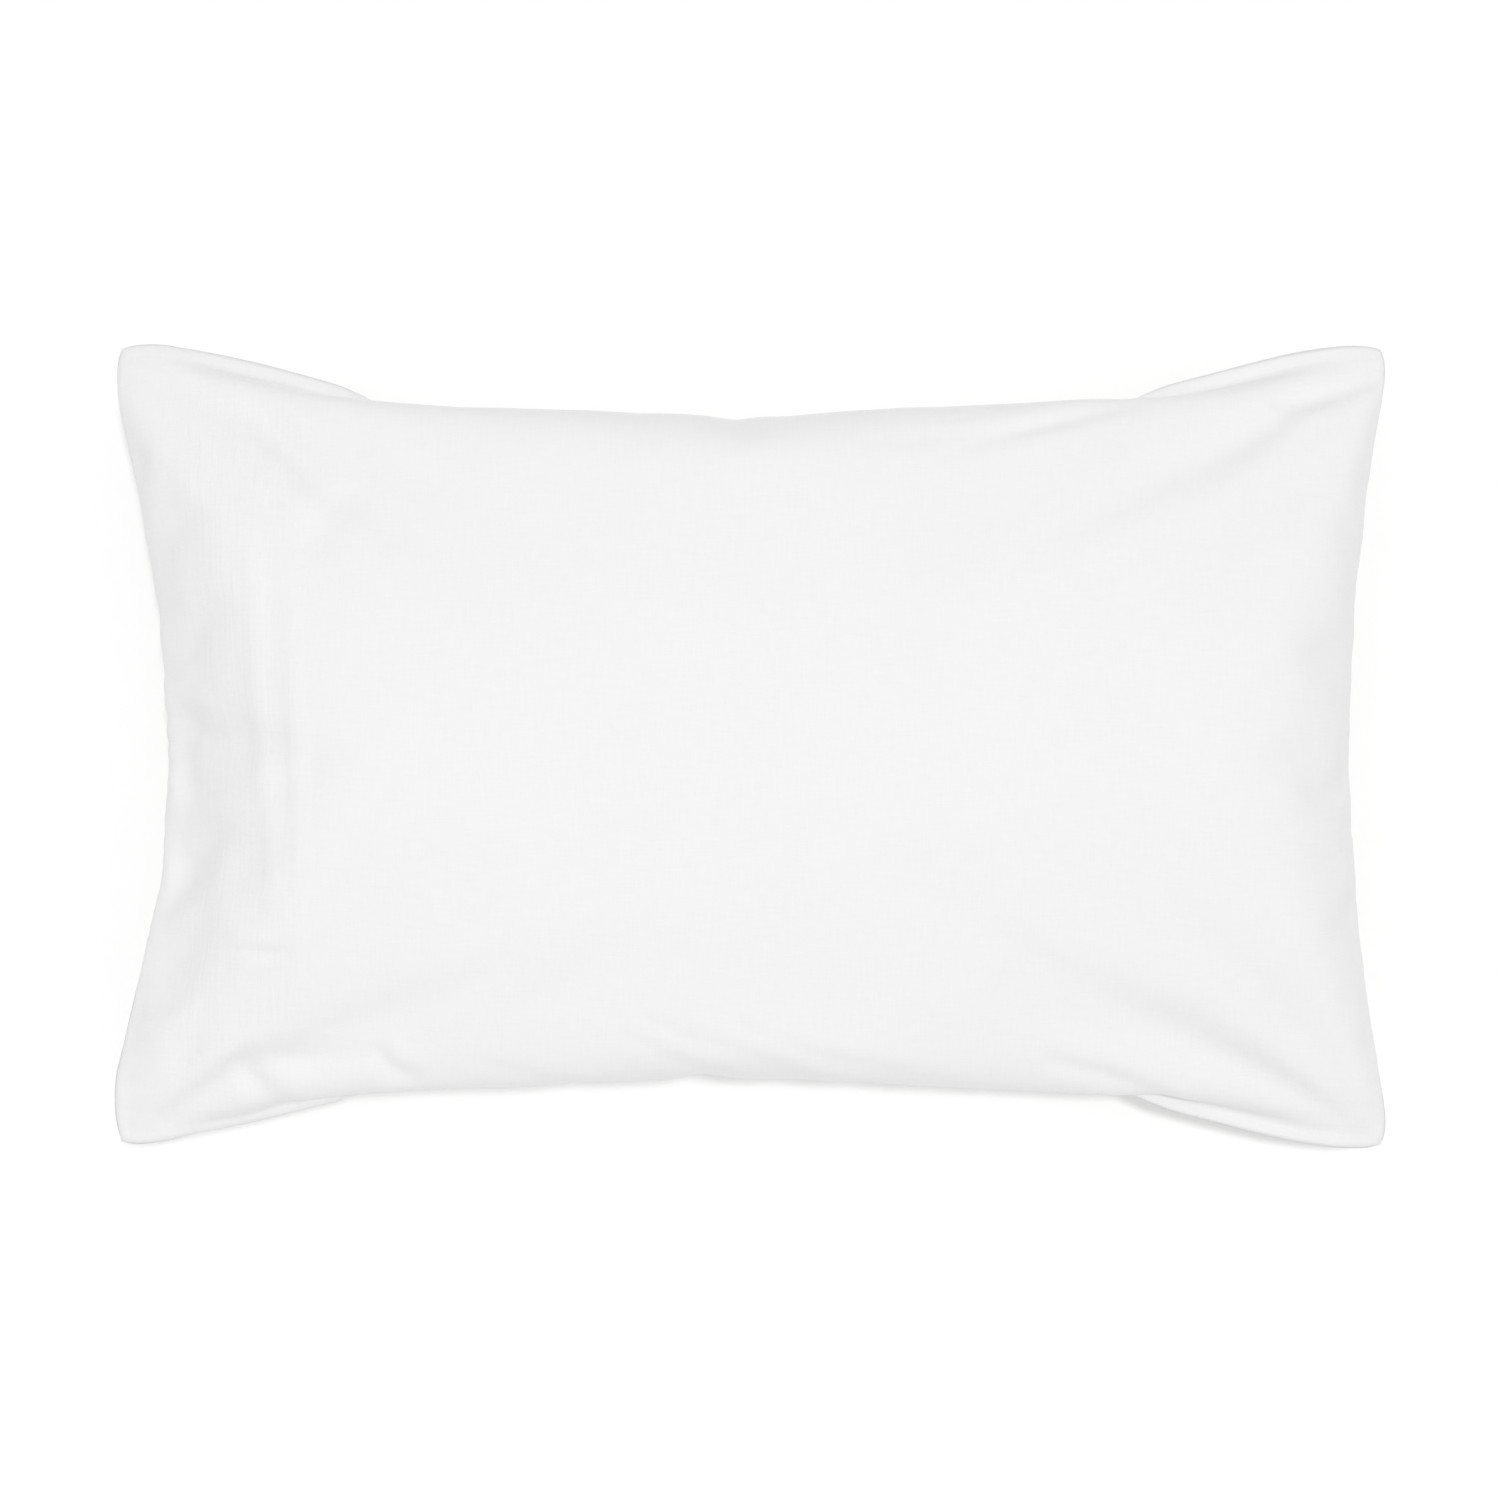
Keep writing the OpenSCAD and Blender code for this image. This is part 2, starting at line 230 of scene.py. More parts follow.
class Finish:
    # a material with its Principled shader, and one method that adds any other node
    def __init__(self, name):
        self.material = bpy.data.materials.new(name)
        self.material.use_nodes = True
        self.shader = self.material.node_tree.nodes["Principled BSDF"]

    def node(self, kind, output=0, settings={}, **values):
        tree = self.material.node_tree
        node = tree.nodes.new(kind)
        for key, value in settings.items():
            setattr(node, key, value)
        for key, value in values.items():
            place = int(key[1:]) if key[0] == "n" and key[1:].isdigit() else key.replace("_", " ")
            self.feed(node.inputs[place], value)
        return Socket(self.material, node.outputs[output])

    def feed(self, place, value):
        if isinstance(value, Socket):
            self.material.node_tree.links.new(value.socket, place)
        else:
            place.default_value = value

    def set(self, **values):
        for key, value in values.items():
            self.feed(self.shader.inputs[key.replace("_", " ")], value)
        return self.material

    def mix(self, factor, first, second):
        return self.node("ShaderNodeMix", 2, {"data_type": "RGBA"}, Factor=factor, n6=first, n7=second)

    def uv(self, name):
        return self.node("ShaderNodeUVMap", 0, {"uv_map": name})

    def axes(self, place):
        apart = self.node("ShaderNodeSeparateXYZ", 0, Vector=place)
        return [Socket(self.material, output) for output in apart.socket.node.outputs]

    def objectPlace(self):
        return self.node("ShaderNodeTexCoord", 3)

    def noise(self, place, scale, detail=2.0, roughness=0.5, output=0):
        return self.node("ShaderNodeTexNoise", output, Vector=place, Scale=scale, Detail=detail,
                         Roughness=roughness)

    def stretchedNoise(self, place, scale, detail, roughness=0.5, turn=0.0):
        placed = self.node("ShaderNodeMapping", Vector=place, Rotation=(0, 0, turn), Scale=scale)
        return self.noise(placed, 1.0, detail, roughness)

    def rise(self, value, low, high):
        # 0 below low, 1 above high, and a smooth step between them
        return self.node("ShaderNodeMapRange", 0, {"interpolation_type": "SMOOTHSTEP"}, Value=value, n1=low,
                         n2=high)

    def bump(self, height, distance, strength=1.0, under=None):
        values = dict(Height=height, Distance=distance, Strength=strength)
        if under is not None:
            values["Normal"] = under
        return self.node("ShaderNodeBump", **values)


def tinted(tint, warmth=1.0, share=1.0):
    return (tint * share, tint * share, tint * share * warmth, 1)


caseShape = dict(
    cutLength=0.762, cutWidth=0.508,        # flat cut between the seams
    cornerLength=0.748, cornerWidth=0.474,  # where the edges would meet before the tips are rounded
    zipEndDraw=0.040, closedEndDraw=0.029,  # how far the short ends are drawn in
    sideDraw=0.0445, tuckUnder=0.019,       # how far the long seams are drawn in, and in under the bulge
    lowZipDraw=0.0075, highZipDraw=0.001, lowClosedDraw=0.002, highClosedDraw=0.001,
    lowZipSwing=0.0075, highZipSwing=0.0045,  # how far the zipped end swings out towards its two tips
    straightShare=0.36, zipTipPower=14, closedTipPower=16, cornerDroop=0.018,
    cellsLong=126, cellsWide=84, frames=30, pressure=7.0,
    floorRound=0.004, clothThickness=0.0006)

zipShape = dict(
    halfLength=0.178, backOpen=0.016, tabRoom=0.0042, hemTop=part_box("case_zip_hem_front")[1].z - 0.0008,
    backHeight=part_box("case_back_panel")[1].z - 0.0005, lipHeight=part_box("case_side_seams")[1].z)


def tipFactor(u, v):
    power = np.where(u < 0, caseShape["zipTipPower"], caseShape["closedTipPower"])
    length, width = caseShape["cornerLength"], caseShape["cornerWidth"]
    return 1 - np.abs(u * v) ** power * width / (width * (power + 1) + length * power)


def endReach(v, draw):
    half = caseShape["cornerWidth"] / 2
    radius = (half ** 2 + draw ** 2) / (2 * draw)
    return caseShape["cornerLength"] / 2 - draw + radius - np.sqrt(radius ** 2 - (v * half) ** 2)


def sideTuck(u, v):
    # how much further in a long seam lies, under the bulge and then towards each of the four tips
    along = np.abs(u)
    high = np.where(u < 0, caseShape["highZipDraw"], caseShape["highClosedDraw"])
    low = np.where(u < 0, caseShape["lowZipDraw"], caseShape["lowClosedDraw"])
    shoulder = ease(along, 0.45, 0.75) * (1 - 0.55 * ease(along, 0.85, 1.0))
    return caseShape["tuckUnder"] * (1 - ease(along, 0.42, 0.66)) + np.where(v > 0, high, low) * shoulder


def endSwing(v):
    reach = np.where(v > 0, caseShape["highZipSwing"], caseShape["lowZipSwing"])
    return reach * ease(np.abs(v), 0.15, 0.7) * (1 - ease(np.abs(v), 0.8, 1.0))


def wavering(places, size, seed):
    # smooth noise from -1 to 1 along a list of places
    return np.array([noise.noise(Vector((x / size, y / size, seed))) for x, y in places])


def seamLine(u, v, inward=0.0):
    # where a point of a flat panel's edge ends up in the filled case
    reach = np.where(u < 0, endReach(v, caseShape["zipEndDraw"]) + endSwing(v),
                     endReach(v, caseShape["closedEndDraw"]))
    turn = np.clip((np.abs(u) - caseShape["straightShare"]) / (1 - caseShape["straightShare"]), 0, 1)
    side = caseShape["cornerWidth"] / 2 - caseShape["sideDraw"] * (1 + np.cos(np.pi * turn)) / 2
    side = side - sideTuck(u, v)
    tip = tipFactor(u, v)
    x, y = u * reach * tip, v * side * tip
    waver = 0.0012 * wavering(np.stack([x, y], axis=1), 0.045, 2.5)
    waver = np.where(u < -0.9, np.abs(waver), waver)  # the lip never shrinks back from the zip
    x = x + np.where(np.abs(u) > 0.999, np.sign(u) * (waver - inward), 0)
    y = y + np.where(np.abs(v) > 0.999, np.sign(v) * (waver - inward), 0)
    droopZip = 0.3 * ease(np.abs(v), 0.82, 1.0)
    droopClosed = np.abs(v) ** 3
    droop = caseShape["cornerDroop"] * np.abs(u) ** 4 * np.where(u < 0, droopZip, droopClosed)
    return np.stack([x, y, zipShape["lipHeight"] - droop], axis=1)


def cutPanel(name, side):
    # a grid laid on the flat cut, whose UV map holds its place on the cut in metres
    panel = addGrid(name, caseShape["cellsLong"], caseShape["cellsWide"], side < 0)
    grid = pointsOf(panel.data)
    u, v = grid[:, 0].copy(), grid[:, 1].copy()
    while panel.data.uv_layers:
        panel.data.uv_layers.remove(panel.data.uv_layers[0])
    cloth = panel.data.uv_layers.new(name="clothGrain")
    corner = np.empty(len(panel.data.loops), dtype=np.int32)
    panel.data.loops.foreach_get("vertex_index", corner)
    onCut = np.stack([0.5 + u[corner] * caseShape["cutLength"] / 2,
                      0.5 + v[corner] * caseShape["cutWidth"] / 2], axis=1)
    cloth.data.foreach_set("uv", onCut.ravel())
    return panel, u, v


def cutShares(panel):
    # each point's shares along and across the cut, from -1 to 1, read back from the UV map
    corner = np.empty(len(panel.data.loops), dtype=np.int32)
    panel.data.loops.foreach_get("vertex_index", corner)
    onCut = np.empty(len(corner) * 2)
    panel.data.uv_layers["clothGrain"].data.foreach_get("uv", onCut)
    shares = np.zeros((len(panel.data.vertices), 2))
    shares[corner] = onCut.reshape(-1, 2)
    return ((shares[:, 0] - 0.5) * 2 / caseShape["cutLength"],
            (shares[:, 1] - 0.5) * 2 / caseShape["cutWidth"])


def puffed(u, v, side, height):
    crown = np.maximum(0, (1 - np.abs(u) ** 3) * (1 - np.abs(v) ** 3)) ** 0.8
    lumps = wavering(np.stack([u * 7, v * 5], axis=1), 1.0, 3.7 + side)
    return side * crown * (height + 0.003 * lumps)


clothForces = dict(quality=6, mass=0.05, tension_stiffness=40, compression_stiffness=40, shear_stiffness=8,
                   bending_stiffness=1.0, tension_damping=5, compression_damping=5, shear_damping=5,
                   air_damping=3)


def setCloth(panel):
    cloth = panel.modifiers.new("inflate", "CLOTH")
    settings = cloth.settings
    for name, value in clothForces.items():
        setattr(settings, name, value)
    settings.vertex_group_mass = "seam"
    settings.use_pressure = True
    settings.uniform_pressure_force = caseShape["pressure"]
    settings.vertex_group_pressure = "filled"
    settings.effector_weights.gravity = 0
    cloth.collision_settings.use_collision = False
    cloth.point_cache.frame_end = caseShape["frames"]


def smoothGrid(points, times):
    # evens out ripples as fine as the cells, and leaves the edge where it is sewn
    across, along = caseShape["cellsWide"] + 1, caseShape["cellsLong"] + 1
    grid = points.reshape(across, along, 3)
    for _ in range(times):
        inner = grid[1:-1, 1:-1]
        around = (grid[:-2, 1:-1] + grid[2:, 1:-1] + grid[1:-1, :-2] + grid[1:-1, 2:]) / 4
        grid[1:-1, 1:-1] = inner * 0.4 + around * 0.6
    return grid.reshape(-1, 3)


def inflatePanels():
    panels = []
    for name, side in (("caseFront", 1), ("caseBack", -1)):
        panel, u, v = cutPanel(name, side)
        tip = tipFactor(u, v)
        flat = np.stack([u * caseShape["cutLength"] / 2 * tip, v * caseShape["cutWidth"] / 2 * tip,
                         zipShape["lipHeight"] + puffed(u, v, side, 0.016)], axis=1)
        drawn = seamLine(u, v)
        atZip = (u < -0.999) * (1 - ease(np.abs(v), 0.76, 0.81))
        if side > 0:  # the lip lies on its own hem
            lipFoot = zipShape["lipHeight"] - caseShape["clothThickness"]
            drawn[:, 2] -= atZip * (lipFoot - zipShape["hemTop"] - zipParts["hemPlay"])
        else:  # the back's zipped edge is set back under the lip, and lies lower
            drawn[:, 0] += atZip * (zipShape["backOpen"] + endSwing(v))
            drawn[:, 2] -= atZip * (zipShape["lipHeight"] - zipShape["backHeight"])
        putPoints(panel.data, flat)
        panel.shape_key_add(name="flatCut")
        key = panel.shape_key_add(name="sewn")
        key.data.foreach_set("co", drawn.ravel())
        key.value = 0
        key.keyframe_insert("value", frame=1)
        key.value = 1
        key.keyframe_insert("value", frame=int(caseShape["frames"] * 0.7))
        filled = panel.vertex_groups.new(name="filled")
        seam = panel.vertex_groups.new(name="seam")
        fillShare = 0.35 + 0.65 * ease(flat[:, 0] + caseShape["cutLength"] / 2, 0.045, 0.09)
        onEdge = (np.abs(u) > 0.999) | (np.abs(v) > 0.999)
        for place in range(len(u)):
            filled.add([place], float(fillShare[place]), "REPLACE")
            if onEdge[place]:
                seam.add([place], 1.0, "REPLACE")
        setCloth(panel)
        panels.append((panel, drawn, onEdge, puffed(u, v, side, 0.1)))
    for step in range(1, caseShape["frames"] + 1):
        bpy.context.scene.frame_set(step)
    for panel, drawn, onEdge, guess in panels:
        graph = bpy.context.evaluated_depsgraph_get()
        settled = pointsOf(panel.evaluated_get(graph).data).copy()
        settled[onEdge] = drawn[onEdge]
        panel.modifiers.clear()
        panel.shape_key_clear()
        panel.vertex_groups.clear()
        panel.animation_data_clear()
        putPoints(panel.data, smoothGrid(settled, 3))
    bpy.context.scene.frame_set(1)
    return panels[0][0], panels[1][0]


# folds pressed into the front panel: start and end in plan, width and depth; a negative depth is a ridge
frontFolds = [
    ((-0.286, 0.154), (-0.269, -0.105), 0.006, -0.0012),   # edge of the insert at the zipped end
    ((-0.260, 0.120), (-0.257, -0.150), 0.005, -0.0007),
    ((-0.320, -0.060), (-0.316, -0.120), 0.009, 0.0016),
    ((-0.331, 0.026), (-0.318, 0.004), 0.008, 0.0018),
    ((-0.297, -0.1155), (-0.262, -0.1155), 0.0035, 0.0016),
    ((-0.345, -0.217), (-0.280, -0.1745), 0.008, 0.0018),  # corner folds at the zipped end, low side
    ((-0.290, -0.178), (-0.205, -0.1735), 0.007, 0.0016),
    ((-0.216, -0.172), (-0.190, -0.192), 0.005, 0.0022),
    ((-0.295, -0.112), (-0.330, -0.186), 0.008, 0.0018),
    ((-0.300, -0.180), (-0.262, -0.206), 0.007, 0.0024),
    ((-0.235, 0.138), (-0.296, 0.204), 0.008, 0.0017),     # and at the high side
    ((-0.262, 0.142), (-0.318, 0.198), 0.006, 0.0012),
    ((-0.215, 0.170), (-0.262, 0.206), 0.006, 0.0012),
    ((-0.250, 0.108), (-0.225, 0.150), 0.009, 0.0014),
    ((0.060, 0.172), (0.192, 0.186), 0.0040, 0.0009),      # long creases along the high side
    ((0.108, 0.164), (0.222, 0.201), 0.0050, 0.0012),
    ((0.150, 0.184), (0.232, 0.196), 0.0035, 0.0010),
    ((0.372, 0.218), (0.300, 0.196), 0.006, 0.0030),       # closed end, high corner
    ((0.362, 0.202), (0.290, 0.146), 0.007, -0.0012),
    ((0.345, 0.205), (0.245, 0.150), 0.010, 0.0020),
    ((0.165, -0.176), (0.255, -0.208), 0.005, 0.0022),     # closed end, low corner
    ((0.140, -0.130), (0.260, -0.180), 0.014, 0.0022),
    ((0.250, -0.174), (0.350, -0.212), 0.009, 0.0018),
    ((-0.160, -0.180), (-0.088, -0.193), 0.0040, 0.0007),  # short creases along the low side
    ((-0.078, -0.160), (-0.014, -0.190), 0.0040, 0.0007),
    ((-0.066, -0.150), (0.026, -0.187), 0.0045, 0.0008),
    ((-0.014, -0.156), (0.088, -0.192), 0.0045, 0.0008),
    ((0.030, -0.173), (0.124, -0.195), 0.0040, 0.0006),
]
backFolds = [
    ((-0.330, -0.200), (-0.250, -0.130), 0.007, 0.0036), ((-0.335, 0.195), (-0.262, 0.140), 0.007, 0.0030),
    ((0.350, 0.212), (0.262, 0.150), 0.007, 0.0036), ((0.352, -0.214), (0.270, -0.140), 0.007, 0.0040),
    ((0.300, 0.080), (0.338, 0.020), 0.006, 0.0020), ((0.296, -0.060), (0.338, -0.030), 0.006, 0.0020),
    ((-0.120, 0.176), (-0.020, 0.186), 0.005, 0.0020), ((0.060, -0.172), (0.160, -0.182), 0.005, 0.0022),
]


def foldDepth(points, folds):
    depth = np.zeros(len(points))
    for (x0, y0), (x1, y1), width, fall in folds:
        along = np.array([x1 - x0, y1 - y0])
        length = np.hypot(*along)
        along = along / length
        offset = points[:, :2] - np.array([x0, y0])
        run = offset @ along
        wander = 0.35 * width * np.sin(run / length * 5.0 + x0 * 90)
        away = (offset @ np.array([-along[1], along[0]]) + wander) / width
        inside = np.clip(run / length, 0, 1)
        taper = np.sin(np.pi * np.clip(inside * 0.94 + 0.03, 0, 1)) ** 0.6 * (run > 0) * (run < length)
        # a groove with a higher ridge on one side and a lower one on the other
        shape = np.exp(-away ** 2)
        shape = shape - 0.45 * np.exp(-((away - 1.9) / 1.1) ** 2)
        shape = shape - 0.25 * np.exp(-((away + 2.1) / 1.3) ** 2)
        depth += fall * taper * shape
    return depth


# what the sewing and the fill do to the surface: heights in metres
surface = dict(allowanceStep=0.0009, pucker=0.0008, slack=0.0007, lumps=0.0010)


def pressFolds(panel, side, folds):
    points = pointsOf(panel.data)
    normals = np.empty(len(points) * 3)
    panel.data.vertex_normals.foreach_get("vector", normals)
    normals = normals.reshape(-1, 3)
    u, v = cutShares(panel)
    fromEnds = (1 - np.abs(u)) * caseShape["cutLength"] / 2
    fromSides = (1 - np.abs(v)) * caseShape["cutWidth"] / 2
    fromSeam = np.minimum(fromEnds, fromSides)
    lift = -foldDepth(points, folds) * ease(fromSeam, 0.0008, 0.007)
    # the seam allowance shows through as a low step, 8 mm wide, and the cloth puckers across it
    lift += surface["allowanceStep"] * (1 - ease(fromSeam, 0.006, 0.0105)) * ease(fromSeam, 0.0, 0.003)
    runAlong = np.where(fromEnds < fromSides, points[:, 1], points[:, 0])
    pucker = wavering(np.stack([runAlong, fromSeam * 0.25], axis=1), 0.0065, 8.1 + side)
    pucker += 0.8 * wavering(np.stack([runAlong, fromSeam * 0.35], axis=1), 0.014, 5.2 + side)
    atEnds = np.where(fromEnds < fromSides, 1.0, 0.45)
    nearSeam = ease(fromSeam, 0.0015, 0.006) * (1 - ease(fromSeam, 0.012, 0.034))
    lift += surface["pucker"] * atEnds * pucker * nearSeam
    # slack cloth at the zipped end, and the fill's soft lumps everywhere
    slack = (1 - ease(fromEnds, 0.045, 0.085)) * (u < 0) * ease(fromSeam, 0.004, 0.02)
    ripples = wavering(np.stack([points[:, 0] * 2.2, points[:, 1]], axis=1), 0.03, 11.0 + side)
    lift += surface["slack"] * slack * ripples
    lift += surface["lumps"] * ease(fromSeam, 0.02, 0.09) * wavering(points[:, :2], 0.055, 14.0 + side)
    points += normals * lift[:, None]
    if side < 0:  # kept clear of the pull tab's path, and pressed flat by the surface that it lies on
        out = np.hypot(points[:, 0] - arcX, points[:, 1])
        nearest, soft = chainRadius + zipShape["tabRoom"], 0.0012
        clear = nearest + soft * np.logaddexp(0, (out - nearest) / soft)
        share = (clear / out - 1) * (u < -0.5) * (1 - ease(np.abs(v), 0.83, 0.90))
        share *= 1 - ease(points[:, 2], zipShape["backHeight"], zipShape["backHeight"] + 0.0033)
        points[:, 0] += (points[:, 0] - arcX) * share
        points[:, 1] += points[:, 1] * share
        low = caseShape["floorRound"]
        points[:, 2] = low * np.logaddexp(0, points[:, 2] / low)
        points[:, 2] -= points[:, 2].min()
    putPoints(panel.data, points)


def finishPanel(panel, side, folds):
    applyFiner(panel, "PRESERVE_CORNERS")
    pressFolds(panel, side, folds)
    applyThick(panel, caseShape["clothThickness"])
    bpy.ops.object.shade_smooth()
    print(panel.name, len(panel.data.polygons), "faces")


def percale(name, tint, warmth, onCut=True):
    # plain weave: two crossed sets of threads, slubs, and a faint unevenness of tone
    finish = Finish(name)
    cut = finish.uv("clothGrain") if onCut else finish.objectPlace()
    alongCut, acrossCut, _ = finish.axes(cut)
    pitch = 2 * math.pi / 0.0007
    warp = (alongCut * pitch).sine()
    weft = (acrossCut * pitch).sine()
    thread = warp * weft * 0.5 + 0.5
    slubs = finish.stretchedNoise(cut, (60, 900, 1), 3.0)
    slubsAcross = finish.stretchedNoise(cut, (900, 60, 1), 3.0)
    mottle = finish.noise(finish.objectPlace(), 14.0, 4.0, 0.55)
    tone = 0.9 + (slubs + slubsAcross - 1.0) * 0.34 + (mottle - 0.5) * 0.12
    colour = finish.mix(tone, tinted(tint, warmth, 0.86), tinted(tint, warmth))
    crinkle = finish.noise(cut, 110.0, 5.0, 0.62)
    # laundered creases: fine lines along the zipped end's hem, and shorter ones in from the long sides
    hemLines = finish.stretchedNoise(cut, (330, 13, 1), 3.0)
    sideLines = finish.stretchedNoise(cut, (22, 210, 1), 3.0, turn=0.5)
    cutX = (alongCut - 0.119) / caseShape["cutLength"]
    cutY = (acrossCut - 0.246) / caseShape["cutWidth"]
    atHem = finish.rise(cutX, 0.02, 0.08) * (1.0 - finish.rise(cutX, 0.13, 0.2)) if onCut else 0.3
    atSides = finish.rise((cutY - 0.5).maths("ABSOLUTE"), 0.28, 0.48) if onCut else 0.3
    creases = crinkle + hemLines * atHem * 1.6 + sideLines * atSides * 0.9
    soft = finish.bump(creases, 0.0006, 0.5)
    woven = finish.bump(thread * 0.5 + slubs * 0.5 + slubsAcross * 0.5, 0.00010, 0.6, soft)
    return finish.set(Base_Color=colour, Roughness=0.78 + (slubs - 0.5) * 0.1, Normal=woven,
                      Sheen_Weight=0.25, Sheen_Roughness=0.4, Specular_IOR_Level=0.3)


def giveMaterial(piece, material):
    piece.data.materials.clear()
    piece.data.materials.append(material)


def polyLine(name, points, closed):
    data = bpy.data.curves.new(name, "CURVE")
    data.dimensions = "3D"
    line = data.splines.new("POLY")
    line.points.add(len(points) - 1)
    for spot, point in zip(line.points, points):
        spot.co = (*point, 1)
    line.use_cyclic_u = closed
    rail = bpy.data.objects.new(name, data)
    bpy.context.scene.collection.objects.link(rail)
    return rail


def closeUp(piece, merge=0.00001):
    # merges doubles and turns every face outwards
    makeActive(piece)
    bpy.ops.object.mode_set(mode="EDIT")
    bpy.ops.mesh.select_all(action="SELECT")
    bpy.ops.mesh.remove_doubles(threshold=merge)
    bpy.ops.mesh.normals_make_consistent(inside=False)
    bpy.ops.object.mode_set(mode="OBJECT")


def sweep(name, path, section, closed=False):
    # draws a section, given as (sideways, up), along a path and makes the result a mesh
    outline = polyLine(name + "Section", [(x, y, 0) for x, y in section], True)
    outline.data.dimensions = "2D"
    rail = polyLine(name, path, closed)
    rail.data.twist_mode = "Z_UP"
    rail.data.bevel_mode = "OBJECT"
    rail.data.bevel_object = outline
    rail.data.use_fill_caps = not closed
    makeActive(rail)
    bpy.ops.object.convert(target="MESH")
    piece = bpy.context.object
    bpy.data.objects.remove(outline)
    closeUp(piece)
    return piece


def roundThread(line, radius, roundness):
    # gives a line a round section and makes it a mesh
    line.data.bevel_depth = radius
    line.data.bevel_resolution = roundness
    line.data.use_fill_caps = True
    makeActive(line)
    bpy.ops.object.convert(target="MESH")
    thread = bpy.context.object
    closeUp(thread)
    return thread


def roundBar(width, height, radius, steps=3):
    # a section with rounded corners, centred on nothing
    outline = []
    for cornerX, cornerY, start in ((1, 1, 0), (-1, 1, 90), (-1, -1, 180), (1, -1, 270)):
        for step in range(steps + 1):
            angle = math.radians(start + 90 * step / steps)
            outline.append((cornerX * (width / 2 - radius) + radius * math.cos(angle),
                            cornerY * (height / 2 - radius) + radius * math.sin(angle)))
    return outline


def repeatPiece(name, piece, places):
    # copies a small piece to each place, each copy with its own mesh, and joins them all
    copies = []
    for place in places:
        copy = piece.copy()
        copy.data = piece.data.copy()
        copy.data.transform(place)
        bpy.context.scene.collection.objects.link(copy)
        copies.append(copy)
    bpy.data.objects.remove(piece)
    deselectAll()
    for copy in copies:
        copy.select_set(True)
    bpy.context.view_layer.objects.active = copies[0]
    bpy.ops.object.join()
    copies[0].name = name
    return copies[0]


def levelPlace(spot, along, side):
    # a matrix whose X runs along, whose Y points to the side and whose Z is upright
    place = Matrix((Vector(along), Vector(side), Vector((0, 0, 1)))).transposed().to_4x4()
    place.translation = Vector(spot)
    return place


def evenly(path, spacing):
    # the same path with its points a set distance apart
    path = np.asarray(path)
    run = np.concatenate([[0], np.cumsum(np.linalg.norm(np.diff(path, axis=0), axis=1))])
    stops = np.linspace(0, run[-1], max(2, int(round(run[-1] / spacing)) + 1))
    return np.stack([np.interp(stops, run, path[:, axis]) for axis in range(3)], axis=1)


def headings(path, closed=False):
    # the direction along a path at each of its points, and the level direction to its right
    if closed:
        ahead = np.roll(path, -1, axis=0) - np.roll(path, 1, axis=0)
    else:
        ahead = np.gradient(path, axis=0)
    ahead = ahead / np.linalg.norm(ahead, axis=1)[:, None]
    right = np.stack([ahead[:, 1], -ahead[:, 0], 0 * ahead[:, 0]], axis=1)
    return ahead, right / np.linalg.norm(right, axis=1)[:, None]


def finishPiece(piece, nodeNames, material, body="root", smooth=40):
    # its material, its body and the CAD solids that it stands for
    giveMaterial(piece, material)
    makeActive(piece)
    bpy.ops.object.shade_smooth_by_angle(angle=math.radians(smooth))
    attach(piece, body)
    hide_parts(*nodeNames)
    return piece


def softBase(name, tint, warmth, sheen=0.2, roughness=0.8):
    finish = Finish(name)
    mottle = finish.noise(finish.objectPlace(), 40.0, 4.0, 0.6)
    colour = finish.mix(mottle, tinted(tint, warmth, 0.9), tinted(tint, warmth))
    finish.set(Base_Color=colour, Sheen_Weight=sheen, Specular_IOR_Level=0.3,
               Roughness=roughness + (mottle - 0.5) * 0.1)
    return finish, mottle


# the sewn seam: both panels' allowances, turned in, and the overlocking on their raw edges
seamShape = dict(zipShare=0.80, spacing=0.004, startInset=0.0009, width=0.0085, edgeDrop=0.0001,
                 ply=0.0006, loopPitch=0.0030, loopReach=0.0042, threadWidth=0.0004, lift=0.0010)


def seamWalk():
    # the seam from the zip's far end, round the closed end and back to the zip
    share = seamShape["zipShare"]
    turns = [(-1, share), (-1, 1), (1, 1), (1, -1), (-1, -1), (-1, -share)]
    shares = []
    for (u0, v0), (u1, v1) in zip(turns, turns[1:]):
        length = math.hypot((u1 - u0) * caseShape["cornerLength"], (v1 - v0) * caseShape["cornerWidth"]) / 2
        count = int(length / seamShape["spacing"]) + 1
        shares += [(u0 + (u1 - u0) * step / count, v0 + (v1 - v0) * step / count) for step in range(count)]
    shares = np.array(shares + [turns[-1]])
    return evenly(seamLine(shares[:, 0], shares[:, 1]), seamShape["spacing"])


def makeSeam():
    path = seamWalk()
    start, end, half = seamShape["startInset"], seamShape["width"], seamShape["ply"]
    # thin where it is pinched in the seam, and two plies thick at the raw edges
    section = [(start, 0.0001), (start + 0.0015, half * 0.7), (end - 0.0002, half), (end, 0.0001),
               (end, -0.0001), (end - 0.0002, -half), (start + 0.0015, -half * 0.7), (start, -0.0001)]
    seam = sweep("caseSideSeam", path, section)
    points = pointsOf(seam.data)
    waver = wavering(points[:, :2], 0.018, 21.0)
    points[:, 2] += 0.0003 * waver - seamShape["edgeDrop"]
    putPoints(seam.data, points)
    return seam


